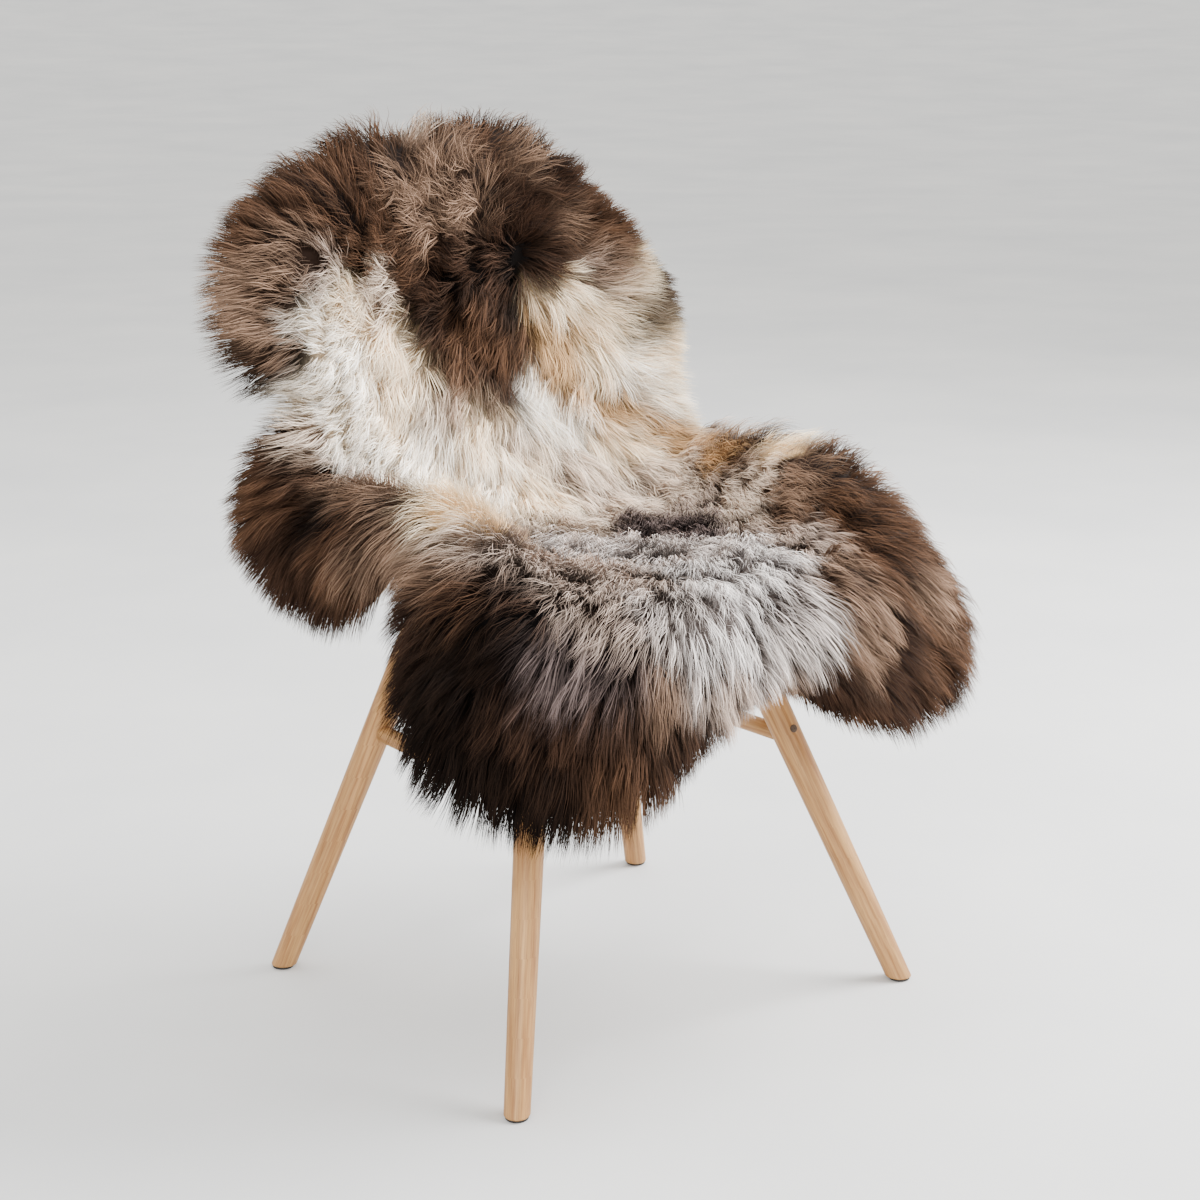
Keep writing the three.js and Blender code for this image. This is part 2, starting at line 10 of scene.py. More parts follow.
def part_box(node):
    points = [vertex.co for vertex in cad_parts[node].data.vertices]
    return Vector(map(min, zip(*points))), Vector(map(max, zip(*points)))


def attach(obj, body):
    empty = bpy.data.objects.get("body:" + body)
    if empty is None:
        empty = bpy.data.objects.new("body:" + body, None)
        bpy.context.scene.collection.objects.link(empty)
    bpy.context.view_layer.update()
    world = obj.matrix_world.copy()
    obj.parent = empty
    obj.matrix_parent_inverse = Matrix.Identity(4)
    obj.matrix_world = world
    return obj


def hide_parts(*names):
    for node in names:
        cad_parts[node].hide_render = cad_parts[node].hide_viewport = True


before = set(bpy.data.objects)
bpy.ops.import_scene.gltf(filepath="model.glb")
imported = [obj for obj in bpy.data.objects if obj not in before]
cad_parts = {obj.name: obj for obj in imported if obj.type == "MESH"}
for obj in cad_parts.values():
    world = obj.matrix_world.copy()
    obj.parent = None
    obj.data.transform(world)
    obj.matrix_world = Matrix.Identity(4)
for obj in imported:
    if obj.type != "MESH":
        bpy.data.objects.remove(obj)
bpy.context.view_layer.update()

# The view: taken from the sitter's right front, a little above the seat, with a long lens. The tables
# below are in millimetres from the point under the middle of the four feet, as a chair maker draws
# them, and "home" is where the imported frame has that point.
MM = 0.001
FOCAL_LENGTH = 67.14
SENSOR_WIDTH = 36
FOCAL_PIXELS = 2238
PICTURE_MIDDLE = 600
EYE = np.array([-1354.0, -1731.0, 981.0])
EYE_DISTANCE = 2300
EYE_TURN = math.radians(38.4)
EYE_DIP = math.radians(14.6)
HOME_FROM_GLIDE = (0.250096, 0.215076)
glide_low, glide_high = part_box("glide_front_right")
glide_middle = (glide_low + glide_high) / 2
home = np.array([glide_middle.x + HOME_FROM_GLIDE[0], glide_middle.y + HOME_FROM_GLIDE[1], 0])


def in_frame(points):
    """Millimetres in the chair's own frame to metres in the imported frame."""
    return np.asarray(points, float) * MM + home


def put_in_scene(name, data):
    """A new object of the scene, at the origin until it is moved."""
    piece = bpy.data.objects.new(name, data)
    bpy.context.scene.collection.objects.link(piece)
    return piece


camera = put_in_scene("camera", bpy.data.cameras.new("camera"))
camera.data.sensor_width = SENSOR_WIDTH
camera.data.lens = FOCAL_LENGTH
camera.location = in_frame(EYE)
camera.rotation_euler = (math.pi / 2 - EYE_DIP, 0, -EYE_TURN)
bpy.context.scene.camera = camera

# The legs: four turned oak rods, oiled, a little thicker towards the top and splayed. Each foot is
# cut level and has its edge rounded over, and the top is cut level to meet the batten under the seat.
LEGS = {
    "back_right": {"x": -243.5, "y": 215.5, "lean": -0.248, "top": 428},
    "front_right": {"x": -250.5, "y": -215.5, "lean": 0.339, "top": 400},
    "front_left": {"x": 250.5, "y": -215.5, "lean": 0.339, "top": 400},
    "back_left": {"x": 243.5, "y": 215.5, "lean": -0.248, "top": 428},
}
SPLAY = 0.323
FOOT_RADIUS = 12.5
LEG_TAPER = 0.0102
LEG_FOOT_Z = 2.8
LEG_SIDES = 44
LEG_STEPS = 12
END_GRAIN_RADIUS = 12
FOOT_ROUND = ((0.0, 1.9), (0.15, 1.1), (0.6, 0.45), (1.2, 0.1), (2.0, 0.0))


def leg_axis(leg, z):
    return np.array([leg["x"] - math.copysign(SPLAY * z, leg["x"]), leg["y"] + leg["lean"] * z, z])


def new_mesh(name, points, faces):
    """A mesh of points in the chair's own frame, with its quads smooth and any end faces flat."""
    mesh = bpy.data.meshes.new(name)
    mesh.from_pydata(in_frame(points).tolist(), [], faces)
    mesh.polygons.foreach_set("use_smooth", [len(face) == 4 for face in faces])
    return mesh


def new_rod(name, stations, sides):
    """A round rod through stations of (middle, across, upward): closed, with its length along V."""
    turns = [2 * math.pi * k / sides for k in range(sides)]
    points = [m + a * math.cos(t) + u * math.sin(t) for m, a, u in stations for t in turns]
    faces, places = [], []
    run = 0.0
    for s in range(len(stations) - 1):
        step = float(np.linalg.norm(stations[s + 1][0] - stations[s][0]))
        girth = 2 * math.pi * float(np.linalg.norm(stations[s][1]))
        for k in range(sides):
            n = (k + 1) % sides
            faces.append((s * sides + k, s * sides + n, (s + 1) * sides + n, (s + 1) * sides + k))
            near, far = k / sides * girth, (k + 1) / sides * girth
            places += [(near, run), (far, run), (far, run + step), (near, run + step)]
        run += step
    last = (len(stations) - 1) * sides
    faces += [tuple(range(sides))[::-1], tuple(range(last, last + sides))]
    places += [(math.cos(t) * END_GRAIN_RADIUS, math.sin(t) * END_GRAIN_RADIUS) for t in turns] * 2
    mesh = new_mesh(name, points, faces)
    grain = mesh.uv_layers.new(name="grain")
    grain.data.foreach_set("uv", (np.array(places) * MM).ravel())
    return put_in_scene(name, mesh)


def put_node(tree, kind, inputs=(), output=None, **settings):
    """Adds a node, feeds its inputs by name or place, and gives the node or the output asked for."""
    node = tree.nodes.new(kind)
    for name, value in settings.items():
        setattr(node, name, value)
    for key, value in dict(inputs).items():
        target = node.inputs[key] if isinstance(key, int) else find_socket(node.inputs, key)
        if isinstance(value, bpy.types.NodeSocket):
            tree.links.new(value, target)
        else:
            target.default_value = value
    return node if output is None else find_socket(node.outputs, output)


def find_socket(sockets, key):
    return next(s for s in sockets if s.identifier == key or s.name == key)


def linear(red, green, blue):
    """A colour as seen on a screen, 0 to 255, to the linear values that nodes take."""
    return tuple((c / 255) ** 2.2 for c in (red, green, blue)) + (1.0,)


def new_finish(name, roughness):
    finish = bpy.data.materials.new(name)
    finish.use_nodes = True
    tree = finish.node_tree
    skin = tree.nodes["Principled BSDF"]
    skin.inputs["Roughness"].default_value = roughness
    return finish, tree, skin


def make_group(name, inputs, outputs):
    """A shader node group with named sockets, and the ends to join inside it."""
    group = bpy.data.node_groups.new(name, "ShaderNodeTree")
    for way, sockets in (("INPUT", inputs), ("OUTPUT", outputs)):
        for title, kind in sockets.items():
            group.interface.new_socket(title, in_out=way, socket_type=f"NodeSocket{kind}")
    return group, group.nodes.new("NodeGroupInput").outputs, group.nodes.new("NodeGroupOutput").inputs


def put_noise(tree, place, scale, detail, roughness=0.5):
    inputs = {"Vector": place, "Scale": scale, "Detail": detail, "Roughness": roughness}
    return put_node(tree, "ShaderNodeTexNoise", inputs, "Fac")


def put_range(tree, value, start=0.0, end=1.0, low=0.0, high=1.0):
    """A value from start to end, carried over to low to high."""
    inputs = {"Value": value, "From Min": start, "From Max": end, "To Min": low, "To Max": high}
    return put_node(tree, "ShaderNodeMapRange", inputs, "Result")


def put_mix(tree, share, first, second):
    """A colour between two others."""
    inputs = {"Factor_Float": share, "A_Color": first, "B_Color": second}
    return put_node(tree, "ShaderNodeMix", inputs, "Result_Color", data_type="RGBA")


def put_scaled(tree, value, factor):
    return put_node(tree, "ShaderNodeVectorMath", {0: value, "Scale": factor}, "Vector", operation="SCALE")


def put_bump(tree, coat, height, strength, distance):
    """Raises a finish by a height in its pattern."""
    inputs = {"Height": height, "Strength": strength, "Distance": distance}
    tree.links.new(put_node(tree, "ShaderNodeBump", inputs, "Normal"), coat.inputs["Normal"])


wood_grain, given, made = make_group(
    "wood_grain",
    {
        "Place": "Vector",
        "Streaks": "Vector",
        "Bands": "Vector",
        "Pores": "Vector",
        "Dark": "Color",
        "Light": "Color",
    },
    {"Colour": "Color", "Height": "Float"},
)
GRAIN_LAYERS = {
    "Streaks": {"detail": 5.0, "span": (0.32, 0.68, 0, 1)},
    "Bands": {"detail": 2.0, "span": (0.35, 0.65, 0.8, 1)},
    "Pores": {"detail": 2.0, "span": (0.3, 0.42, 0.72, 1)},
}
layers = {}
for layer, facts in GRAIN_LAYERS.items():
    factors = {0: given["Place"], 1: given[layer]}
    stretched = put_node(wood_grain, "ShaderNodeVectorMath", factors, "Vector", operation="MULTIPLY")
    noise = put_noise(wood_grain, stretched, scale=1.0, detail=facts["detail"], roughness=0.6)
    layers[layer] = put_range(wood_grain, noise, *facts["span"])
wood = put_mix(wood_grain, layers["Streaks"], given["Dark"], given["Light"])
factors = {0: layers["Bands"], 1: layers["Pores"]}
shade = put_node(wood_grain, "ShaderNodeMath", factors, "Value", operation="MULTIPLY")
wood_grain.links.new(put_scaled(wood_grain, wood, shade), made["Colour"])
wood_grain.links.new(layers["Pores"], made["Height"])


def put_grain(tree, coat, place, grain, strength):
    """Gives a finish the look of oiled oak, with its grain along the rod or board."""
    grown = put_node(tree, "ShaderNodeGroup", {"Place": place, **grain}, node_tree=wood_grain).outputs
    tree.links.new(grown["Colour"], coat.inputs["Base Color"])
    put_bump(tree, coat, grown["Height"], strength, GRAIN_DEPTH)


GRAIN_DEPTH = 0.0004
ROD_GRAIN = {
    "Streaks": (260.0, 9.0, 1.0),
    "Bands": (70.0, 2.2, 1.0),
    "Pores": (900.0, 45.0, 1.0),
    "Dark": linear(140, 91, 46),
    "Light": linear(197, 151, 94),
}
oak, tree, coat = new_finish("oak_oiled", roughness=0.5)
along = put_node(tree, "ShaderNodeUVMap", output="UV", uv_map="grain")
put_grain(tree, coat, along, ROD_GRAIN, strength=0.25)

for name, leg in LEGS.items():
    slope = np.array([-math.copysign(SPLAY, leg["x"]), leg["lean"]])
    lean = float(np.linalg.norm(slope))
    ahead = np.array([*(slope / lean), 0.0])
    beside = np.array([-ahead[1], ahead[0], 0.0])
    heights = [(LEG_FOOT_Z + rise, inset) for rise, inset in FOOT_ROUND]
    heights += [
        (LEG_FOOT_Z + 2 + (leg["top"] - LEG_FOOT_Z - 2) * k / LEG_STEPS, 0.0) for k in range(1, LEG_STEPS + 1)
    ]
    stations = []
    for z, inset in heights:
        radius = FOOT_RADIUS + LEG_TAPER * z - inset
        stations.append((leg_axis(leg, z), ahead * radius * math.hypot(1, lean), beside * radius))
    piece = new_rod(f"turned_leg_{name}", stations, LEG_SIDES)
    piece.data.materials.append(oak)
    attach(piece, "root")
    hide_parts(f"leg_{name}")

# The glides: thin dark discs under the feet, pressed from felt and rubber, with the edge turned in.
# They stand on the floor, and each foot stops a little above its own.
GLIDE_PROFILE = ((0.0, 9.6), (0.35, 10.6), (0.9, 11.0), (1.9, 11.0), (2.3, 10.7), (2.5, 10.2))
GLIDE_MIDDLE_Z = 1.25
GLIDE_SIDES = 36
mottle, given, made = make_group(
    "mottle", {"Place": "Vector", "Scale": "Float", "Low": "Color", "High": "Color"}, {"Colour": "Color"}
)
cloud = put_noise(mottle, given["Place"], given["Scale"], detail=4.0, roughness=0.6)
cloud = put_range(mottle, cloud, start=0.3, end=0.7)
mottle.links.new(put_mix(mottle, cloud, given["Low"], given["High"]), made["Colour"])


def mottled_finish(name, roughness, scale, low, high):
    """A finish of two near colours in soft spots, with its tree, its shader and its place input."""
    finish, tree, coat = new_finish(name, roughness)
    spot = put_node(tree, "ShaderNodeTexCoord", output="Object")
    given = {"Place": spot, "Scale": scale, "Low": linear(*low), "High": linear(*high)}
    spots = put_node(tree, "ShaderNodeGroup", given, node_tree=mottle)
    tree.links.new(spots.outputs["Colour"], coat.inputs["Base Color"])
    return finish, tree, coat, spot


glide_finish = mottled_finish(
    "glide_rubber", roughness=0.85, scale=900.0, low=(30, 29, 28), high=(66, 62, 58)
)[0]
for name, leg in LEGS.items():
    middle = leg_axis(leg, GLIDE_MIDDLE_Z)
    stations = [
        (np.array([middle[0], middle[1], z]), np.array([r, 0.0, 0.0]), np.array([0.0, r, 0.0]))
        for z, r in GLIDE_PROFILE
    ]
    piece = new_rod(f"foot_glide_{name}", stations, GLIDE_SIDES)
    piece.data.materials.append(glide_finish)
    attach(piece, "root")
    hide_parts(f"glide_{name}")

# The rungs: three round oak rods doweled into the legs, one between the legs of each side and one
# between the back legs. A dark screw plug closes the hole in the leg behind each side rung.
RUNG_RADIUS = 9.0
RUNGS = {
    "rung_right_side": ("back_right", "front_right", 263),
    "rung_left_side": ("back_left", "front_left", 263),
    "rung_back": ("back_right", "back_left", 292),
}
RUNG_SUNK = 1.2
RUNG_STEPS = 8
RUNG_SIDES = 32
PLUG_PROFILE = ((0.0, 4.2), (0.7, 4.2), (0.95, 3.7), (0.7, 0.6))
PLUG_SUNK = 0.4
PLUG_SIDES = 20
PLUG_Z = 270.0
for name, (first, second, z) in RUNGS.items():
    start, end = leg_axis(LEGS[first], z), leg_axis(LEGS[second], z)
    way = (end - start) / np.linalg.norm(end - start)
    across = np.cross(way, [0.0, 0.0, 1.0])
    across /= np.linalg.norm(across)
    upward = np.cross(way, across)
    sunk = FOOT_RADIUS + LEG_TAPER * z - RUNG_SUNK
    inside = np.linalg.norm(end - start) - 2 * sunk
    stations = [
        (start + way * (sunk + inside * k / RUNG_STEPS), across * RUNG_RADIUS, upward * RUNG_RADIUS)
        for k in range(RUNG_STEPS + 1)
    ]
    piece = new_rod(f"round_{name}", stations, RUNG_SIDES)
    piece.data.materials.append(oak)
    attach(piece, "root")
    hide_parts(name)

plug_finish = mottled_finish(
    "plug_dark", roughness=0.6, scale=600.0, low=(46, 34, 26), high=(84, 62, 44)
)[0]
for name, leg in LEGS.items():
    axis = leg_axis(leg, 1) - leg_axis(leg, 0)
    axis /= np.linalg.norm(axis)
    facing = np.array([0.0, math.copysign(1.0, leg["y"]), 0.0])
    facing -= axis * float(facing @ axis)
    facing /= np.linalg.norm(facing)
    across = np.cross(axis, facing)
    upward = np.cross(facing, across)
    face = leg_axis(leg, PLUG_Z) + facing * (FOOT_RADIUS + LEG_TAPER * PLUG_Z - PLUG_SUNK)
    stations = [(face + facing * out, across * radius, upward * radius) for out, radius in PLUG_PROFILE]
    piece = new_rod(f"screw_plug_{name}", stations, PLUG_SIDES)
    piece.data.materials.append(plug_finish)
    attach(piece, "root")

# The battens: two oak boards across the underside of the seat, shaped to it, which take the legs'
# tops. Their edges are eased with a small bevel.
BOARD_GRAIN = {
    "Streaks": (9.0, 240.0, 240.0),
    "Bands": (2.0, 60.0, 60.0),
    "Pores": (45.0, 900.0, 900.0),
    "Dark": linear(136, 89, 46),
    "Light": linear(191, 145, 91),
}
board_oak, tree, coat = new_finish("oak_board", roughness=0.55)
spot = put_node(tree, "ShaderNodeTexCoord", output="Object")
put_grain(tree, coat, spot, BOARD_GRAIN, strength=0.2)


def finished(piece):
    """The piece with its modifiers made part of its mesh."""
    view = bpy.context.evaluated_depsgraph_get()
    view.update()
    made = bpy.data.meshes.new_from_object(piece.evaluated_get(view))
    piece.modifiers.clear()
    piece.data = made
    return piece


def ease_edges(piece, width, segments, degrees):
    """Rounds the edges that are sharper than an angle over, by a small width."""
    eased = piece.modifiers.new("eased", "BEVEL")
    eased.width = width
    eased.segments = segments
    eased.limit_method = "ANGLE"
    eased.angle_limit = math.radians(degrees)


for name in ("batten_front", "batten_back"):
    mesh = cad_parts[name].data.copy()
    shape = bmesh.new()
    shape.from_mesh(mesh)
    bmesh.ops.remove_doubles(shape, verts=shape.verts, dist=1e-5)
    bmesh.ops.dissolve_limit(shape, angle_limit=math.radians(4), verts=shape.verts, edges=shape.edges)
    shape.to_mesh(mesh)
    shape.free()
    mesh.materials.clear()
    mesh.materials.append(board_oak)
    piece = put_in_scene(f"shaped_{name}", mesh)
    ease_edges(piece, width=0.0015, segments=2, degrees=30)
    finished(piece)
    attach(piece, "root")
    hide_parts(name)

# The seat shell: one pale plastic moulding, seat and back in one, with low sides that rise from a
# flat middle. Its thickness is 6 mm and its rim is rounded over in the mould.
SHELL_LIP = {"y": -226.0, "z": 440.0, "heading": 25.0}
SHELL_PROFILE = (
    {"piece": "front lip", "length": 42, "turn": -27},
    {"piece": "front of the seat", "length": 130, "turn": -1},
    {"piece": "back of the seat", "length": 104, "turn": 3},
    {"piece": "bend into the back", "length": 156, "turn": 72},
    {"piece": "small of the back", "length": 107, "turn": 6},
    {"piece": "upper back", "length": 120, "turn": 5},
    {"piece": "top of the back", "length": 72, "turn": 2},
)
SHELL_LENGTH = sum(arc["length"] for arc in SHELL_PROFILE)
SECTION_COLUMNS = ("at", "flat", "curve", "rise")
SECTION_ROWS = (
    (0, 142, 46, 6),
    (60, 108, 94, 30),
    (170, 96, 138, 60),
    (240, 94, 144, 57),
    (320, 92, 142, 45),
    (420, 90, 140, 31),
    (520, 90, 134, 22),
    (650, 86, 106, 16),
    (731, 78, 74, 10),
)
LIP_CORNER = 58
TOP_CORNER = 92
CORNER_POWER = 3.5
COLUMNS = 14
ROWS = 24
SHELL_FINENESS = 3
SHELL_THICKNESS = 6.0


def named(columns, rows):
    return [dict(zip(columns, row)) for row in rows]


def read_table(rows, key, column, position):
    """A value from a table's column, on a smooth curve that never overshoots its rows."""
    last = len(rows) - 1
    if position <= rows[0][key]:
        return rows[0][column]
    if position >= rows[last][key]:
        return rows[last][column]

    def slope(k):
        return (rows[k + 1][column] - rows[k][column]) / (rows[k + 1][key] - rows[k][key])

    def tangent(k):
        if k in (0, last):
            return 0.0
        before, after = slope(k - 1), slope(k)
        return 0.0 if before * after <= 0 else 2 * before * after / (before + after)

    k = next(index for index in range(last) if position < rows[index + 1][key])
    span = rows[k + 1][key] - rows[k][key]
    t = (position - rows[k][key]) / span
    rest = 1 - t
    return (
        rows[k][column] * rest * rest * (1 + 2 * t)
        + rows[k + 1][column] * t * t * (3 - 2 * t)
        + tangent(k) * span * t * rest * rest
        - tangent(k + 1) * span * t * t * rest
    )


def walk(arcs, distance, start=(0.0, 0.0, 0.0)):
    """The point and heading reached after walking a distance along (length, turn) arcs."""
    forward, up, heading = start
    left = distance
    for length, turn in arcs:
        step = min(left, length)
        angle = turn * step / length
        half = math.radians(angle / 2)
        chord = step if half == 0 else step * math.sin(half) / half
        forward += chord * math.cos(math.radians(heading + angle / 2))
        up += chord * math.sin(math.radians(heading + angle / 2))
        heading += angle
        left -= step
        if left <= 0:
            break
    return forward, up, heading


SECTIONS = named(SECTION_COLUMNS, SECTION_ROWS)


def surface(at, across):
    """The shell's sitting surface at a distance along its profile and a distance across it."""
    arcs = [(arc["length"], arc["turn"]) for arc in SHELL_PROFILE]
    y, z, heading = walk(arcs, at, (SHELL_LIP["y"], SHELL_LIP["z"], SHELL_LIP["heading"]))
    tilt = math.radians(heading + 90)
    section = [
        (read_table(SECTIONS, "at", "flat", at), 0.0),
        (read_table(SECTIONS, "at", "curve", at) + 1, read_table(SECTIONS, "at", "rise", at)),
    ]
    outward, up, _ = walk(section, abs(across))
    return np.array([math.copysign(outward, across), y + up * math.cos(tilt), z + up * math.sin(tilt)])


def normal(at, across):
    """The direction square to the sitting surface, on the sitter's side."""
    rear = max(at - 1, 0)
    front = min(rear + 2, SHELL_LENGTH)
    way_across = surface(at, across + 1) - surface(at, across - 1)
    square = np.cross(way_across, surface(front, across) - surface(rear, across))
    return square / np.linalg.norm(square)


def shell_spot(column, row):
    """A grid point of the shell, whose corners are rounded where the outline turns in."""
    share = column / COLUMNS * 2 - 1
    corner = abs(share) ** CORNER_POWER
    first = LIP_CORNER * corner
    last = SHELL_LENGTH - TOP_CORNER * corner
    at = first + (last - first) * row / ROWS
    half_width = read_table(SECTIONS, "at", "flat", at) + read_table(SECTIONS, "at", "curve", at)
    return share, at, share * half_width, half_width


def grid_faces(columns, rows):
    """The faces of a grid whose points are numbered row by row."""
    corner = [row * (columns + 1) + column for row in range(rows) for column in range(columns)]
    return [(k, k + 1, k + columns + 2, k + columns + 1) for k in corner]


points = []
for row in range(ROWS * SHELL_FINENESS + 1):
    for column in range(COLUMNS * SHELL_FINENESS + 1):
        _, at, across, _ = shell_spot(column / SHELL_FINENESS, row / SHELL_FINENESS)
        points.append(surface(at, across))
mesh = new_mesh("moulded_shell", points, grid_faces(COLUMNS * SHELL_FINENESS, ROWS * SHELL_FINENESS))
moulded_shell = put_in_scene("moulded_shell", mesh)
wall = moulded_shell.modifiers.new("wall", "SOLIDIFY")
wall.thickness = SHELL_THICKNESS * MM
wall.offset = -1
ease_edges(moulded_shell, width=0.0025, segments=3, degrees=60)
finished(moulded_shell)

plastic, tree, coat, spot = mottled_finish(
    "shell_plastic", roughness=0.42, scale=14.0, low=(208, 211, 210), high=(220, 222, 220)
)
mould_grain = put_noise(tree, spot, scale=1400.0, detail=2.0)
tree.links.new(put_range(tree, mould_grain, low=0.36, high=0.52), coat.inputs["Roughness"])
put_bump(tree, coat, mould_grain, strength=0.12, distance=0.0002)
moulded_shell.data.materials.append(plastic)
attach(moulded_shell, "root")
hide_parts("seat_shell")

# The hide: one whole sheepskin of soft tanned leather with four leg lobes, laid over seat and back. It
# hooks over the top and falls over both side rims and the front. Past the shell's edge it first goes
# straight, then bends over and hangs, and the locks at its rim reach on past it.
PAST_COLUMNS = ("place", "overhang", "turn", "bend", "locks")
PAST_THE_LIP = (
    (-1, 190, 86, 52, 46),
    (-0.72, 170, 64, 40, 48),
    (-0.4, 104, 58, 32, 22),
    (0.05, 72, 60, 30, 10),
    (0.45, 118, 58, 32, 24),
    (0.75, 160, 56, 40, 38),
    (1, 190, 74, 52, 40),
)
PAST_THE_RIGHT_RIM = (
    (0, 190, 86, 52, 40),
    (46, 124, 102, 48, 28),
    (96, 64, 130, 46, 36),
    (134, 46, 138, 44, 38),
    (184, 94, 142, 44, 38),
    (250, 112, 140, 44, 38),
    (330, 102, 128, 44, 32),
    (400, 98, 104, 44, 30),
    (460, 88, 84, 44, 30),
    (510, 64, 70, 44, 32),
    (545, 32, 62, 44, 36),
    (574, 12, 56, 44, 44),
    (602, 42, 52, 44, 44),
    (640, 74, 48, 44, 42),
    (685, 84, 46, 44, 36),
    (731, 92, 60, 50, 34),
)
PAST_THE_LEFT_RIM = (
    (0, 190, 74, 52, 40),
    (60, 130, 98, 48, 30),
    (120, 92, 130, 46, 26),
    (190, 78, 142, 44, 24),
    (270, 98, 140, 44, 22),
    (340, 94, 128, 44, 20),
    (400, 58, 104, 44, 18),
    (450, 22, 86, 44, 17),
    (520, 10, 70, 44, 16),
    (560, 12, 60, 44, 12),
    (605, 26, 52, 44, 14),
    (660, 30, 56, 44, 18),
    (731, 20, 80, 46, 20),
)
PAST_THE_TOP = (
    (-1, 92, 60, 50, 34),
    (-0.75, 100, 140, 62, 28),
    (-0.4, 124, 178, 53, 28),
    (0.2, 120, 178, 53, 28),
    (0.55, 78, 168, 50, 24),
    (0.8, 36, 120, 46, 20),
    (1, 20, 80, 46, 20),
)
HIDE_CLEARANCE = 3.0
HIDE_THICKNESS = 2.5
EDGE_GAP = 6.0
BEND_SHARE = 0.8
BEND_STEPS = 5
RINGS = 7
LOCKS_INSIDE = 38.0


def shell_outline():
    """The shell's outline once round from the lip's right end, with the way the hide goes on."""
    tables = (PAST_THE_LIP, PAST_THE_LEFT_RIM, PAST_THE_TOP, PAST_THE_RIGHT_RIM)
    lip, left, top, right = (named(PAST_COLUMNS, rows) for rows in tables)
    spots = [(k, 0, lip) for k in range(COLUMNS)] + [(COLUMNS, k, left) for k in range(ROWS)]
    spots += [(k, ROWS, top) for k in range(COLUMNS, 0, -1)] + [(0, k, right) for k in range(ROWS, 0, -1)]
    outline = []
    for column, row, table in spots:
        share, at, across, _ = shell_spot(column, row)
        place = share if table in (lip, top) else row / ROWS * SHELL_LENGTH
        point = {name: read_table(table, "place", name, place) for name in PAST_COLUMNS[1:]}
        outline.append({**point, "middle": surface(at, across), "up": normal(at, across)})
    for k, point in enumerate(outline):
        way = outline[(k + 1) % len(outline)]["middle"] - outline[k - 1]["middle"]
        out = np.cross(way, point["up"])
        point["out"] = out / np.linalg.norm(out)
    return outline


def past_edge(point, ring):
    """A place on the hide past the shell's edge: ring 0 is that edge, the last one the hide's own."""
    overhang, up, out = point["overhang"], point["up"], point["out"]
    turned = min(EDGE_GAP + point["bend"], overhang * BEND_SHARE)
    beyond = ring - BEND_STEPS
    distance = turned * ring / BEND_STEPS
    if beyond > 0:
        distance = turned + (overhang - turned) * beyond / (RINGS - BEND_STEPS)
    arcs = [(EDGE_GAP, 0.0), (point["bend"], -point["turn"]), (overhang, 0.0)]
    forward, rise, heading = walk(arcs, distance)
    heading = math.radians(heading)
    place = point["middle"] + out * forward + up * rise
    square = up * math.cos(heading) - out * math.sin(heading)
    ahead = out * math.cos(heading) + up * math.sin(heading)
    return place, square, ahead, overhang - distance


REGIONS = (
    "seat_front",
    "seat_rear",
    "back_low",
    "back_high",
    "drape_right",
    "drape_left",
    "left_flank",
    "left_shoulder",
    "nape",
    "right_shoulder",
    "right_flank",
)
ROWS_PER_REGION = 6
TOP_REGION = 3
RING_REGIONS = ((7, "drape_right"), (14, "drape_left"), (26, "left_flank"), (38, "left_shoulder"))
RING_REGIONS += ((52, "nape"), (64, "right_shoulder"), (76, "right_flank"))
outline = shell_outline()
places, aheads, inwards, lengths = [], [], [], []
for row in range(ROWS + 1):
    for column in range(COLUMNS + 1):
        share, at, across, half_width = shell_spot(column, row)
        table = named(PAST_COLUMNS, PAST_THE_RIGHT_RIM if share < 0 else PAST_THE_LEFT_RIM)
        overhang = read_table(table, "place", "overhang", row / ROWS * SHELL_LENGTH)
        places.append(surface(at, across) + normal(at, across) * HIDE_CLEARANCE)
        aheads.append(np.zeros(3))
        inwards.append(overhang + half_width - abs(across))
        lengths.append(LOCKS_INSIDE)
for ring in range(1, RINGS + 1):
    for point in outline:
        place, square, ahead, inward = past_edge(point, ring)
        places.append(place + square * HIDE_CLEARANCE)
        aheads.append(ahead)
        inwards.append(inward)
        lengths.append(point["locks"])
faces = grid_faces(COLUMNS, ROWS)
regions = [REGIONS[min(k // COLUMNS // ROWS_PER_REGION, TOP_REGION)] for k in range(len(faces))]
inner_edge = list(range(COLUMNS))
inner_edge += [row * (COLUMNS + 1) + COLUMNS for row in range(ROWS)]
inner_edge += [ROWS * (COLUMNS + 1) + k for k in range(COLUMNS, 0, -1)]
inner_edge += [row * (COLUMNS + 1) for row in range(ROWS, 0, -1)]
first_ring = (COLUMNS + 1) * (ROWS + 1)
columns_past = [
    [inner_edge[k], *(first_ring + ring * len(outline) + k for ring in range(RINGS))]
    for k in range(len(outline))
]
for k, point in enumerate(outline):
    aheads[inner_edge[k]] = point["out"]
    here, after = columns_past[k], columns_past[(k + 1) % len(outline)]
    for ring in range(RINGS):
        faces.append((after[ring], here[ring], here[ring + 1], after[ring + 1]))
        regions.append(next(name for last, name in RING_REGIONS if k < last))


def write_points(mesh, name, values):
    """Puts a number, a direction or a colour at each point, by how many values a point has."""
    values = np.asarray(values, np.float32)
    width = values.shape[1] if values.ndim > 1 else 1
    kinds = {1: ("FLOAT", "value"), 3: ("FLOAT_VECTOR", "vector"), 4: ("FLOAT_COLOR", "color")}
    kind, field = kinds[width]
    layer = mesh.attributes.get(name) or mesh.attributes.new(name, kind, "POINT")
    layer.data.foreach_set(field, values.ravel())


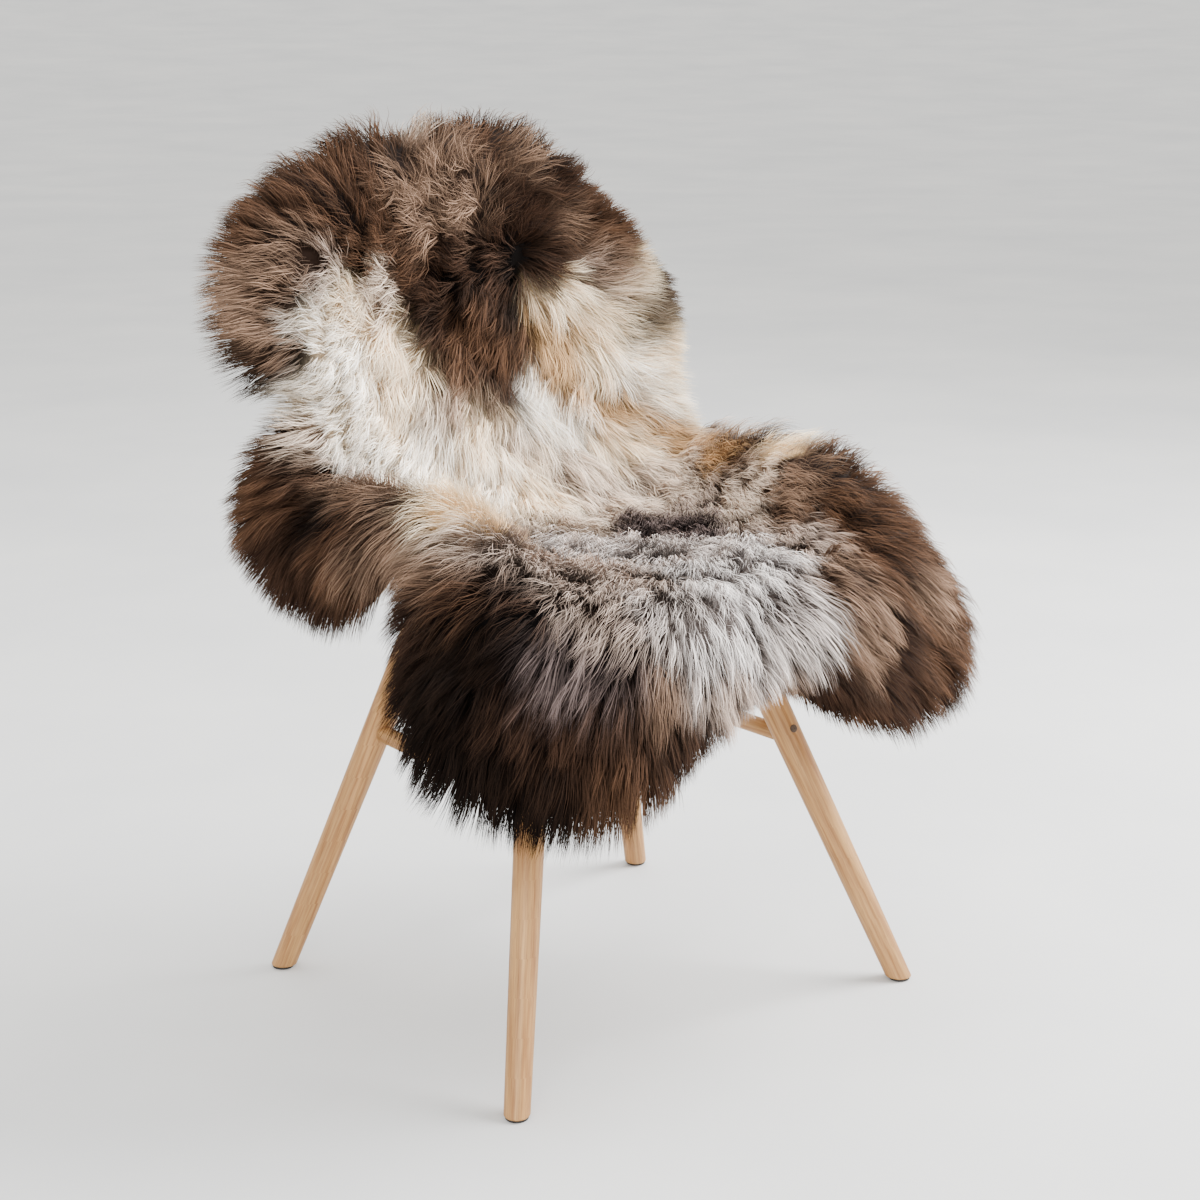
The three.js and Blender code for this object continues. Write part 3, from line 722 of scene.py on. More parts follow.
def skin_sheet(name, levels):
    """The hide's underside as an open sheet, smoothed, with its regions and ways to the rim."""
    mesh = new_mesh(name, places, faces)
    mesh.polygons.foreach_set("material_index", [REGIONS.index(region) for region in regions])
    for _ in REGIONS:
        mesh.materials.append(None)
    write_points(mesh, "ahead", aheads)
    write_points(mesh, "inward", inwards)
    write_points(mesh, "length", lengths)
    sheet = put_in_scene(name, mesh)
    smooth = sheet.modifiers.new("smooth", "SUBSURF")
    smooth.levels = smooth.render_levels = levels
    return finished(sheet)


hide = skin_sheet("hide", 1)
leather = hide.modifiers.new("leather", "SOLIDIFY")
leather.thickness = HIDE_THICKNESS * MM
leather.offset = 1
finished(hide)
hide.data.materials.clear()
hide.data.polygons.foreach_set("material_index", [0] * len(hide.data.polygons))
for name in ("ahead", "inward", "length"):
    hide.data.attributes.remove(hide.data.attributes[name])

suede, tree, coat, spot = mottled_finish(
    "hide_suede", roughness=0.9, scale=11.0, low=(188, 160, 126), high=(218, 198, 168)
)
nap = put_noise(tree, spot, scale=520.0, detail=4.0, roughness=0.7)
spots = coat.inputs["Base Color"].links[0].from_socket
napped = put_scaled(tree, spots, put_range(tree, nap, low=0.82, high=1.08))
tree.links.new(napped, coat.inputs["Base Color"])
put_bump(tree, coat, nap, strength=0.5, distance=0.0006)
hide.data.materials.append(suede)
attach(hide, "root")

# The wool's colours and its lie: brown, cream and silver grey as they grew, brushed over the back,
# the seat and down the drape. Each mark is a place seen in the picture, how far its colour reaches,
# the way the wool lies there, in degrees from the picture's right, and how tangled it is.
# Each tone's root is darker than its tip: partly the wool's own lighter tips, partly painted shade deep in
# the wool next to the hide.
TONES = {
    "white": {"root": (240, 222, 196), "tip": (255, 252, 245)},
    "cream": {"root": (214, 182, 138), "tip": (254, 239, 212)},
    "golden": {"root": (112, 82, 55), "tip": (202, 164, 120)},
    "beige": {"root": (120, 98, 82), "tip": (236, 216, 196)},
    "taupe": {"root": (46, 34, 28), "tip": (149, 121, 101)},
    "frosted": {"root": (36, 26, 21), "tip": (198, 176, 161)},
    "brown": {"root": (24, 16, 12), "tip": (91, 67, 51)},
    "dark": {"root": (14, 9, 7), "tip": (64, 47, 37)},
    "black": {"root": (9, 6, 5), "tip": (31, 23, 18)},
    "pepper": {"root": (20, 15, 15), "tip": (112, 98, 95)},
    "silver": {"root": (60, 51, 47), "tip": (232, 220, 213)},
    "pale": {"root": (112, 102, 98), "tip": (250, 244, 240)},
}
MARK_COLUMNS = ("x", "y", "reach", "tone", "heading", "tangle")
MARK_ROWS = (
    # upper left of the back
    (308, 131, 30, "brown", 135, 0.2),
    (342, 158, 30, "brown", 125, 0.2),
    (372, 134, 26, "brown", 110, 0.5),
    (274, 185, 28, "brown", 150, 0.2),
    (241, 225, 24, "brown", 165, 0.2),
    (227, 249, 22, "brown", 176, 0.2),
    (301, 201, 28, "brown", 142, 0.2),
    (342, 235, 26, "brown", 145, 0.3),
    (379, 191, 26, "brown", 122, 0.3),
    (300, 240, 20, "taupe", 160, 0.3),
    # top and the middle of the back
    (352, 114, 24, "brown", 118, 0.3),
    (408, 112, 14, "beige", 88, 0.8),
    (446, 112, 20, "brown", 80, 0.6),
    (427, 158, 20, "taupe", 100, 1.0),
    (400, 178, 22, "taupe", 130, 0.9),
    (454, 134, 22, "taupe", 70, 0.8),
    (494, 134, 22, "brown", 60, 0.4),
    (528, 151, 20, "taupe", 45, 0.4),
    (427, 208, 24, "taupe", 172, 0.9),
    (406, 252, 24, "brown", 162, 0.6),
    (433, 279, 24, "dark", 166, 0.6),
    (443, 306, 24, "dark", 200, 0.5),
    (477, 327, 26, "brown", 248, 0.4),
    (460, 367, 26, "brown", 258, 0.4),
    (454, 401, 22, "taupe", 256, 0.4),
    (508, 352, 22, "brown", 255, 0.4),
    (500, 386, 26, "dark", 258, 0.4),
    (484, 412, 18, "taupe", 262, 0.4),
    (514, 320, 16, "black", 250, 0.3),
    (494, 290, 20, "dark", 230, 0.4),
    (487, 255, 22, "dark", 190, 0.6),
    (470, 200, 22, "taupe", 150, 1.0),
    # right shoulder
    (528, 198, 26, "dark", 60, 0.9),
    (494, 218, 22, "dark", 80, 0.8),
    (562, 191, 26, "dark", 50, 0.7),
    (596, 225, 26, "brown", 35, 0.5),
    (623, 212, 18, "taupe", 32, 0.3),
    (646, 238, 22, "taupe", 22, 0.3),
    (558, 252, 22, "dark", 12, 0.5),
    (598, 262, 18, "frosted", 15, 0.5),
    (655, 258, 20, "taupe", 18, 0.3),
    (640, 281, 16, "cream", 14, 0.3),
    (668, 276, 16, "beige", 10, 0.2),
    (666, 308, 28, "dark", 4, 0.2),
    (646, 310, 22, "dark", 4, 0.2),
    (629, 308, 16, "cream", 5, 0.3),
    (579, 302, 22, "cream", 300, 0.5),
    (560, 335, 22, "golden", 296, 0.4),
    (606, 335, 20, "cream", 345, 0.4),
    (640, 362, 24, "white", 8, 0.3),
    (663, 390, 20, "white", 350, 0.3),
    (596, 372, 20, "cream", 250, 0.4),
    (562, 372, 20, "golden", 245, 0.3),
    (610, 411, 20, "golden", 330, 0.3),
    (656, 430, 20, "golden", 340, 0.3),
    # the light side of the back
    (322, 272, 20, "frosted", 168, 0.7),
    (342, 306, 24, "cream", 174, 0.6),
    (376, 300, 18, "beige", 168, 0.8),
    (314, 322, 22, "white", 176, 0.3),
    (335, 349, 26, "white", 186, 0.3),
    (382, 350, 24, "cream", 235, 0.8),
    (352, 388, 26, "white", 212, 0.3),
    (406, 387, 22, "cream", 240, 0.5),
    (308, 396, 26, "white", 176, 0.2),
    (393, 416, 26, "cream", 216, 0.3),
    (427, 408, 20, "beige", 262, 0.3),
    (257, 286, 26, "taupe", 177, 0.2),
    (241, 320, 22, "taupe", 188, 0.2),
    (266, 334, 24, "taupe", 192, 0.2),
    (241, 357, 24, "dark", 206, 0.2),
    (270, 374, 24, "dark", 214, 0.2),
    # waist and the rear of the seat
    (283, 412, 22, "cream", 176, 0.2),
    (256, 430, 20, "taupe", 172, 0.2),
    (302, 437, 22, "beige", 184, 0.2),
    (268, 450, 20, "brown", 178, 0.2),
    (302, 462, 20, "brown", 190, 0.2),
    (359, 442, 28, "white", 222, 0.2),
    (427, 455, 30, "white", 258, 0.3),
    (481, 430, 26, "cream", 276, 0.4),
    (511, 448, 24, "beige", 290, 0.5),
    (530, 404, 20, "white", 300, 0.4),
    (562, 430, 22, "white", 302, 0.4),
    (596, 450, 22, "cream", 300, 0.4),
    (646, 452, 22, "cream", 348, 0.3),
    (649, 474, 22, "beige", 308, 0.3),
    (591, 466, 22, "beige", 290, 0.3),
    # far side rim
    (697, 413, 20, "brown", 14, 0.3),
    (735, 418, 18, "taupe", 22, 0.3),
    (668, 440, 18, "golden", 345, 0.3),
    (756, 424, 14, "cream", 26, 0.2),
    (786, 438, 16, "cream", 18, 0.2),
    (725, 450, 20, "golden", 0, 0.3),
    (764, 464, 20, "beige", 352, 0.3),
    (687, 482, 22, "beige", 342, 0.3),
    # front of the seat
    (431, 470, 28, "white", 236, 0.2),
    (496, 487, 28, "white", 244, 0.2),
    (438, 508, 26, "cream", 216, 0.2),
    (450, 535, 22, "beige", 210, 0.3),
    (534, 508, 28, "cream", 246, 0.3),
    (488, 552, 26, "frosted", 214, 0.4),
    (572, 541, 26, "silver", 238, 0.3),
    (630, 514, 32, "pepper", 276, 0.3),
    (668, 522, 32, "pepper", 292, 0.3),
    (614, 568, 26, "frosted", 228, 0.3),
    (652, 556, 24, "silver", 252, 0.3),
    (687, 506, 22, "frosted", 300, 0.3),
    (712, 548, 26, "silver", 290, 0.3),
    (725, 508, 22, "beige", 328, 0.2),
    (764, 545, 26, "pale", 308, 0.2),
    (806, 538, 24, "frosted", 324, 0.2),
    # drape
    (744, 594, 28, "pale", 290, 0.2),
    (668, 617, 30, "silver", 260, 0.2),
    (706, 655, 28, "pale", 274, 0.1),
    (783, 640, 28, "silver", 294, 0.1),
    (815, 612, 24, "silver", 304, 0.2),
    (614, 628, 30, "frosted", 240, 0.2),
    (572, 594, 28, "frosted", 226, 0.3),
    (515, 594, 28, "dark", 216, 0.3),
    (457, 594, 28, "brown", 206, 0.3),
    (436, 566, 22, "taupe", 206, 0.3),
    (496, 648, 34, "black", 226, 0.2),
    (436, 640, 30, "black", 228, 0.2),
    (438, 705, 34, "black", 244, 0.2),
    (515, 724, 34, "dark", 240, 0.2),
    (561, 671, 28, "pepper", 240, 0.2),
    (610, 682, 28, "pepper", 250, 0.2),
    (668, 690, 26, "taupe", 262, 0.1),
    (572, 744, 32, "dark", 250, 0.2),
    (630, 736, 30, "dark", 260, 0.1),
    (687, 722, 22, "dark", 266, 0.1),
    (477, 763, 34, "black", 248, 0.2),
    (553, 801, 32, "black", 254, 0.2),
    (496, 812, 28, "dark", 252, 0.2),
    (610, 782, 28, "brown", 260, 0.2),
    (725, 690, 20, "frosted", 274, 0.1),
    (748, 702, 18, "brown", 276, 0.1),
    (783, 682, 20, "taupe", 288, 0.1),
    # sitter's left lobe in front; the taupe marks at (840, 594), (938, 592) and (862, 640) paint the lit band
    # across the brown wool: painted highlight
    (840, 594, 26, "taupe", 314, 0.2),
    (878, 552, 30, "brown", 320, 0.2),
    (840, 500, 24, "brown", 338, 0.3),
    (802, 478, 24, "taupe", 350, 0.3),
    (878, 476, 26, "brown", 352, 0.3),
    (912, 474, 18, "taupe", 18, 0.2),
    (920, 535, 30, "brown", 330, 0.2),
    (938, 592, 26, "taupe", 320, 0.2),
    (862, 640, 24, "taupe", 310, 0.2),
    (900, 684, 28, "dark", 308, 0.2),
    (940, 650, 26, "brown", 314, 0.2),
    (840, 688, 24, "dark", 300, 0.2),
    (822, 722, 20, "black", 290, 0.2),
    (897, 714, 22, "brown", 300, 0.2),
    (950, 702, 20, "brown", 312, 0.2),
    # sitter's right side, over the rim
    (256, 466, 22, "brown", 182, 0.2),
    (274, 488, 24, "brown", 192, 0.3),
    (301, 484, 20, "dark", 200, 0.3),
    (336, 490, 20, "taupe", 206, 0.3),
    (366, 478, 20, "taupe", 214, 0.3),
    (252, 515, 20, "brown", 212, 0.2),
    (278, 536, 22, "dark", 238, 0.2),
    (308, 524, 22, "black", 236, 0.2),
    (343, 518, 22, "brown", 240, 0.2),
    (375, 515, 22, "taupe", 230, 0.2),
    (399, 534, 20, "taupe", 222, 0.2),
    (362, 549, 22, "taupe", 254, 0.1),
    (388, 562, 22, "taupe", 260, 0.1),
    (332, 568, 24, "brown", 256, 0.1),
    (299, 560, 22, "dark", 250, 0.1),
    (288, 582, 20, "dark", 254, 0.1),
    (321, 600, 26, "dark", 264, 0.1),
    (353, 603, 26, "brown", 268, 0.1),
    (375, 622, 24, "dark", 274, 0.1),
    (400, 603, 22, "taupe", 270, 0.1),
)
# The same for what the picture hides, by places in the chair's own frame and ways in space.
HIDDEN_COLUMNS = ("place", "reach", "tone", "way", "tangle")
HIDDEN_ROWS = (
    ((-110, 300, 790), 60, "brown", (-0.3, 0.3, -1.0), 0.4),
    ((0, 320, 800), 60, "brown", (0.0, 0.3, -1.0), 0.5),
    ((90, 300, 790), 60, "dark", (0.3, 0.3, -1.0), 0.4),
    ((0, 300, 730), 60, "brown", (0.0, 0.1, -1.0), 0.3),
    ((-210, 230, 740), 40, "brown", (-1.0, 0.4, 0.0), 0.3),
    ((230, 140, 620), 40, "cream", (1.0, 0.3, -0.4), 0.3),
    ((300, 60, 470), 50, "frosted", (0.8, 0.1, -1.0), 0.2),
    ((300, -20, 440), 50, "brown", (0.8, 0.0, -1.0), 0.2),
    ((290, 100, 420), 50, "dark", (0.5, 0.2, -1.0), 0.2),
    ((300, -120, 420), 50, "brown", (0.8, -0.2, -1.0), 0.2),
    ((320, -230, 370), 50, "brown", (0.6, -0.5, -1.0), 0.2),
    ((-300, -120, 420), 40, "dark", (-0.8, -0.2, -1.0), 0.2),
    ((-80, 45, 480), 38, "beige", (-0.3, -1.0, -0.1), 0.3),
    ((0, 45, 480), 38, "beige", (0.0, -1.0, -0.1), 0.3),
    ((80, 45, 480), 38, "beige", (0.3, -1.0, -0.1), 0.3),
    ((-90, 105, 500), 38, "cream", (-0.4, -0.8, -0.4), 0.3),
    ((0, 110, 500), 38, "cream", (0.0, -0.8, -0.4), 0.3),
    ((90, 105, 500), 38, "beige", (0.3, -0.8, -0.4), 0.3),
)
WOOL_DEPTH = 46.0
WOOL_LUMP = 8.0
LUMP_WAVES = ((19, 41), (53, 29, 23))
WOOL_ROUNDING = 52.0
WOOL_AT_RIM = 8.0
CROWN_SHARE = 0.85
LIE_NEAR = 60.0
LIE_OUTWARD = 1.1
LIE_SPREAD = 1.2
TONE_SPREAD = 0.85
FAR_WEIGHT = 1e-3
FAR_GAP = 10
STEEPEST_SLANT = 0.15
SHOWN_SHARE = 0.5
RIPPLE_HEIGHT = 7
RIPPLE_LENGTHS = (13, 21)
RIPPLE_SWAY = 1.7
RIM_CALM = 0.8
RIM_PLENTY = 0.7

ground = skin_sheet("wool_ground", 2)


def read_points(source, field, width=1):
    values = np.zeros(len(source) * width, np.float32)
    source.foreach_get(field, values)
    return (values.reshape(-1, width) if width > 1 else values).astype(float)


def unit(rows):
    rows = np.asarray(rows, float)
    return rows / np.maximum(np.linalg.norm(rows, axis=-1, keepdims=True), 1e-9)


def laid_flat(ways, squares):
    """Directions with what points out of the hide taken away."""
    return ways - squares * np.sum(ways * squares, axis=-1, keepdims=True)


roots = (read_points(ground.data.vertices, "co", 3) - home) / MM
outer = np.array([v.vector[:] for v in ground.data.vertex_normals])
ahead = read_points(ground.data.attributes["ahead"].data, "vector", 3)
inward = read_points(ground.data.attributes["inward"].data, "value")
length = read_points(ground.data.attributes["length"].data, "value")
fall = 1 - np.clip(inward, 0, WOOL_ROUNDING) / WOOL_ROUNDING
x, y, z = roots.T
(short, tall), (wide, deep, high) = LUMP_WAVES
lumps = np.sin(x / short + z / tall) * np.sin(x / wide - y / deep + z / high)
depth = WOOL_AT_RIM + (WOOL_DEPTH + WOOL_LUMP * lumps - WOOL_AT_RIM) * np.sqrt(np.maximum(0, 1 - fall**2))

eye_ahead = np.array(
    [math.sin(EYE_TURN) * math.cos(EYE_DIP), math.cos(EYE_TURN) * math.cos(EYE_DIP), -math.sin(EYE_DIP)]
)
eye_right = np.array([math.cos(EYE_TURN), -math.sin(EYE_TURN), 0.0])
eye_up = np.cross(eye_right, eye_ahead)
crown = roots + outer * depth[:, None] * CROWN_SHARE
crown_tree = BVHTree.FromPolygons(crown.tolist(), [tuple(p.vertices) for p in ground.data.polygons])

marks = []
for mark in named(MARK_COLUMNS, MARK_ROWS):
    ray = eye_ahead + eye_right * (mark["x"] - PICTURE_MIDDLE) / FOCAL_PIXELS
    ray += eye_up * (PICTURE_MIDDLE - mark["y"]) / FOCAL_PIXELS
    place, square, _, _ = crown_tree.ray_cast(Vector(EYE), Vector(ray))
    if place is None:
        place, square, _, _ = crown_tree.find_nearest(Vector(EYE + ray * EYE_DISTANCE))
    square = np.array(square)
    angle = math.radians(mark["heading"])
    way = eye_right * math.cos(angle) + eye_up * math.sin(angle)
    slant = float(eye_ahead @ square)
    if abs(slant) > STEEPEST_SLANT:
        way = way - eye_ahead * float(way @ square) / slant
    marks.append({**mark, "place": np.array(place), "way": laid_flat(way, square)})
marks += named(HIDDEN_COLUMNS, HIDDEN_ROWS)

mark_places = np.array([mark["place"] for mark in marks], float)
mark_reach = np.array([mark["reach"] for mark in marks], float)
mark_ways = np.array([unit(mark["way"]) for mark in marks])


def nearness(points, spread):
    """How much each mark counts at each point: most where it is near, and the nearest always."""
    gap = np.linalg.norm(points[:, None, :] - mark_places[None, :, :], axis=2)
    weights = np.exp(-((gap / (mark_reach * spread)) ** 2)) + FAR_WEIGHT / (1 + (gap / FAR_GAP) ** 4)
    return weights / weights.sum(axis=1, keepdims=True)


at_crown = nearness(crown, LIE_SPREAD)
rim_share = 1 - np.clip(inward, 0, LIE_NEAR) / LIE_NEAR
lie = unit(laid_flat(at_crown @ mark_ways, outer)) + ahead * (rim_share * LIE_OUTWARD)[:, None]
lie = unit(laid_flat(unit(lie), outer))
tangle = at_crown @ np.array([mark["tangle"] for mark in marks])
run = LOCKS_INSIDE + (length - LOCKS_INSIDE) * rim_share

shown = crown + lie * (run * SHOWN_SHARE)[:, None]
small, large = RIPPLE_LENGTHS
ripple = [
    np.sin(shown[:, (k + 1) % 3] / small + RIPPLE_SWAY * np.sin(shown[:, (k + 2) % 3] / large))
    for k in range(3)
]
at_shown = nearness(shown + np.stack(ripple, 1) * RIPPLE_HEIGHT, TONE_SPREAD)
root_tones, tip_tones = (
    at_shown @ np.array([linear(*TONES[mark["tone"]][end]) for mark in marks]) for end in ("root", "tip")
)
grown_values = {
    "outer": outer,
    "lie": lie,
    "depth": depth * MM,
    "run": run * MM,
    "tangle": tangle * (1 - RIM_CALM * rim_share),
    "plenty": 1 + RIM_PLENTY * rim_share,
    "gather": 1 - RIM_CALM * rim_share,
    "root_tone": root_tones,
    "tip_tone": tip_tones,
}
for name, values in grown_values.items():
    write_points(ground.data, name, values)

# The dense underwool: the short wool next to the hide, which the long locks stand in. It is modelled as one
# closed lumpy mass, half as deep as the wool, in the locks' root colours darkened by a painted shade.
UNDERWOOL_SHARE = 0.55
UNDERWOOL_PAINTED_SHADE = 0.8
lifted = roots + outer * np.maximum(depth * UNDERWOOL_SHARE, HIDE_THICKNESS + 1)[:, None]
lowered = roots + outer * (HIDE_THICKNESS - 0.5)
count = len(roots)
upper = [tuple(p.vertices) for p in ground.data.polygons]
sides = {(f[k], f[(k + 1) % 4]) for f in upper for k in range(4)}
open_sides = [(a, b) for a, b in sorted(sides) if (b, a) not in sides]
solid_faces = [tuple(v + count for v in f) for f in upper] + [f[::-1] for f in upper]
solid_faces += [(b + count, a + count, a, b) for a, b in open_sides]
mesh = new_mesh("underwool", np.concatenate([lowered, lifted]), solid_faces)
# painted shade: the underwool takes the roots' colours, made darker still, as shade between the locks
write_points(mesh, "wool_colour", np.concatenate([root_tones, root_tones]) * UNDERWOOL_PAINTED_SHADE)
underwool = put_in_scene("underwool", mesh)

wool_finish, tree, coat = new_finish("wool", roughness=0.7)
grown = put_node(tree, "ShaderNodeAttribute", output="Color", attribute_name="wool_colour")
spot = put_node(tree, "ShaderNodeTexCoord", output="Object")
unevenness = put_range(tree, put_noise(tree, spot, scale=60.0, detail=3.0), low=0.78, high=1.18)
tree.links.new(put_scaled(tree, grown, unevenness), coat.inputs["Base Color"])
coat.inputs["Specular IOR Level"].default_value = 0.06
underwool.data.materials.append(wool_finish)
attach(underwool, "root")

# The locks: the long wool itself. Each strand is a thin tapering blade that rises from the underwool
# and bends over the way the wool lies. Neighbouring strands draw together into locks, and the locks
# into tufts, and the tips sag a little under their own weight.
STRAND_LEVELS = (0.0, 0.4, 0.75)
LOCK_SIZES = {
    "Strands per m2": 305000.0,
    "Lock spacing": 0.006,
    "Tuft spacing": 0.024,
    "Strand width": 0.001,
    "Start share": 0.42,
    "Lock pull": 0.6,
    "Tuft pull": 0.3,
    "Wave": 0.0022,
    "Sag": 0.006,
}
LOCK_VARIETY = {
    "own turn": (0.35, 0.1),
    "lock turn": (0.8, 0.1),
    "tuft turn": (0.7, 0.1),
    "tuft height": (0.3, 0.76),
    "lock height": (0.2, 0.9),
    "own height": (0.28, 0.84),
    "stray height": (0.1, 1.0),
    "reach": (0.3, 0.82),
    "forward": (0.6, 0.4),
    "gathering": (-0.7, 1.0),
    "swing": (1.8, 0.4),
    "taper": (-0.45, 0.5),
    "width": (0.5, 0.75),
    "frost": (0.9, 0.15),
    "brightness": (0.55, 0.72),
    "turned shade": (0.4, 1.0),
    "edge shade": (0.2, 1.0),
}
MOST_CENTRES_PER_M2 = 60000.0
FIRST_SEED = 7
SEED_STEP = 100
LOCK_SEED = 11
TUFT_SEED = 23
OWN_SEED = 41
TWIST = 0.75
STRAYS_ABOVE = 0.95
LOCK_CLOSING = 1.3
WAVE_TURNS = 7.0
WAVE_STARTS = 19.0
LOCK_FROST = 0.45
strand_points = [(x, 0.0, level) for level in STRAND_LEVELS for x in (-1.0, 1.0)] + [(0.0, 0.0, 1.0)]
strand_faces = [(2 * k, 2 * k + 1, 2 * k + 3, 2 * k + 2) for k in range(2)] + [(4, 5, 6)]
mesh = bpy.data.meshes.new("strand")
mesh.from_pydata([(0, 0, 0)] * len(strand_points), [], strand_faces)
mesh.polygons.foreach_set("use_smooth", [True] * len(strand_faces))
write_points(mesh, "side", [p[0] for p in strand_points])
write_points(mesh, "height", [p[2] for p in strand_points])
strand = put_in_scene("strand", mesh)


def wool_tree():
    """The tree that grows the locks on a part of the hide."""
    tree = bpy.data.node_groups.new("wool_locks", "GeometryNodeTree")
    sockets = {"Geometry": "Geometry", "Strand": "Object", "Finish": "Material", "Seed": "Int"}
    for name, kind in {**sockets, **dict.fromkeys(LOCK_SIZES, "Float")}.items():
        tree.interface.new_socket(name, in_out="INPUT", socket_type=f"NodeSocket{kind}")
    tree.interface.new_socket("Geometry", in_out="OUTPUT", socket_type="NodeSocketGeometry")
    given = tree.nodes.new("NodeGroupInput").outputs

    def number(operation, *values):
        return put_node(tree, "ShaderNodeMath", dict(enumerate(values)), "Value", operation=operation)

    def product(value, *factors):
        for factor in factors:
            value = number("MULTIPLY", value, factor)
        return value

    def varied(value, kind):
        return number("MULTIPLY_ADD", value, *LOCK_VARIETY[kind])

    def vector(operation, *values):
        return put_node(tree, "ShaderNodeVectorMath", dict(enumerate(values)), "Vector", operation=operation)

    def turned(first, second, angle):
        """The first of two directions, turned towards the second."""
        ahead = put_scaled(tree, first, number("COSINE", angle))
        return vector("ADD", ahead, put_scaled(tree, second, number("SINE", angle)))

    def carried(name, kind="FLOAT"):
        return put_node(tree, "GeometryNodeInputNamedAttribute", {"Name": name}, "Attribute", data_type=kind)

    def keep(geometry, name, kind, value):
        inputs = {"Geometry": geometry, "Name": name, "Value": value}
        settings = {"data_type": kind, "domain": "POINT"}
        return put_node(tree, "GeometryNodeStoreNamedAttribute", inputs, "Geometry", **settings)

    def seed(offset):
        return number("ADD", given["Seed"], float(offset))

    def luck(offset, low, high, owner=None):
        inputs = {"Min_001": low, "Max_001": high, "Seed": seed(offset)}
        if owner is not None:
            inputs["ID"] = owner
        return put_node(tree, "FunctionNodeRandomValue", inputs, "Value_001", data_type="FLOAT")

    def scatter(method, inputs):
        inputs = {"Mesh": given["Geometry"], **inputs}
        kind = "GeometryNodeDistributePointsOnFaces"
        return put_node(tree, kind, inputs, "Points", distribute_method=method)

    density = product(given["Strands per m2"], carried("plenty"))
    strands = scatter("RANDOM", {"Density": density, "Seed": given["Seed"]})
    place = put_node(tree, "GeometryNodeInputPosition", output="Position")
    strands = keep(strands, "root", "FLOAT_VECTOR", place)
    for group, spacing, offset in (("lock", "Lock spacing", LOCK_SEED), ("tuft", "Tuft spacing", TUFT_SEED)):
        inputs = {"Distance Min": given[spacing], "Density Max": MOST_CENTRES_PER_M2, "Seed": seed(offset)}
        centres = scatter("POISSON", inputs)
        nearest = put_node(tree, "GeometryNodeSampleNearest", {"Geometry": centres}, "Index", domain="POINT")
        inputs = {"Geometry": centres, "Value": place, "Index": nearest}
        settings = {"data_type": "FLOAT_VECTOR", "domain": "POINT"}
        centre = put_node(tree, "GeometryNodeSampleIndex", inputs, "Value", **settings)
        strands = keep(strands, f"{group}_shift", "FLOAT_VECTOR", vector("SUBTRACT", centre, place))
        strands = keep(strands, f"{group}_luck", "FLOAT", luck(offset + 1, 0.0, 1.0, nearest))
        strands = keep(strands, f"{group}_turn", "FLOAT", luck(offset + 2, -1.0, 1.0, nearest))
    strands = keep(strands, "luck", "FLOAT", luck(OWN_SEED, 0.0, 1.0))
    strands = keep(strands, "turn", "FLOAT", luck(OWN_SEED + 1, -1.0, 1.0))
    strands = keep(strands, "twist", "FLOAT", luck(OWN_SEED + 2, -TWIST, TWIST))
    straying = number("GREATER_THAN", luck(OWN_SEED + 3, 0.0, 1.0), STRAYS_ABOVE)
    strands = keep(strands, "stray", "FLOAT", straying)

    blade = put_node(tree, "GeometryNodeObjectInfo", {"Object": given["Strand"]}, "Geometry")
    inputs = {"Points": strands, "Instance": blade}
    grown = put_node(tree, "GeometryNodeInstanceOnPoints", inputs, "Instances")
    grown = put_node(tree, "GeometryNodeRealizeInstances", {"Geometry": grown}, "Geometry")

    height, side, twist = carried("height"), carried("side"), carried("twist")
    tangled, stray = carried("tangle"), carried("stray")
    lock_luck, tuft_luck, own_luck = carried("lock_luck"), carried("tuft_luck"), carried("luck")
    outer_way, lie_way = (vector("NORMALIZE", carried(name, "FLOAT_VECTOR")) for name in ("outer", "lie"))
    own_turn = product(carried("turn"), varied(tangled, "own turn"))
    lock_turn = product(carried("lock_turn"), varied(tangled, "lock turn"))
    tuft_turn = product(carried("tuft_turn"), varied(tangled, "tuft turn"))
    turn = number("ADD", own_turn, number("ADD", lock_turn, tuft_turn))
    way = turned(lie_way, vector("CROSS_PRODUCT", outer_way, lie_way), turn)
    across = vector("CROSS_PRODUCT", outer_way, way)

    rise = product(
        carried("depth"),
        varied(tuft_luck, "tuft height"),
        varied(lock_luck, "lock height"),
        varied(own_luck, "own height"),
        varied(stray, "stray height"),
    )
    bent = product(height, number("SUBTRACT", 2.0, height))
    share = number("MULTIPLY_ADD", bent, number("SUBTRACT", 1.0, given["Start share"]), given["Start share"])
    reach = product(carried("run"), varied(own_luck, "reach"))
    forward = product(height, varied(height, "forward"))
    squared = product(height, height)
    gathered = product(carried("gather"), varied(stray, "gathering"))
    lock_pull = product(given["Lock pull"], gathered, number("POWER", height, LOCK_CLOSING))
    tuft_pull = product(given["Tuft pull"], gathered, squared)
    phase = number("MULTIPLY_ADD", height, WAVE_TURNS, product(lock_luck, WAVE_STARTS))
    swing = product(number("SINE", phase), product(given["Wave"], height), varied(tangled, "swing"))
    sagging = put_node(tree, "ShaderNodeCombineXYZ", {"Z": product(squared, given["Sag"], -1.0)}, "Vector")
    width = product(given["Strand width"], varied(height, "taper"), side, varied(own_luck, "width"))
    path = carried("root", "FLOAT_VECTOR")
    for step in (
        put_scaled(tree, outer_way, product(rise, share)),
        put_scaled(tree, way, product(reach, forward)),
        put_scaled(tree, carried("lock_shift", "FLOAT_VECTOR"), lock_pull),
        put_scaled(tree, carried("tuft_shift", "FLOAT_VECTOR"), tuft_pull),
        put_scaled(tree, across, swing),
        sagging,
        put_scaled(tree, turned(across, outer_way, twist), width),
    ):
        path = vector("ADD", path, step)
    grown = put_node(tree, "GeometryNodeSetPosition", {"Geometry": grown, "Position": path}, "Geometry")
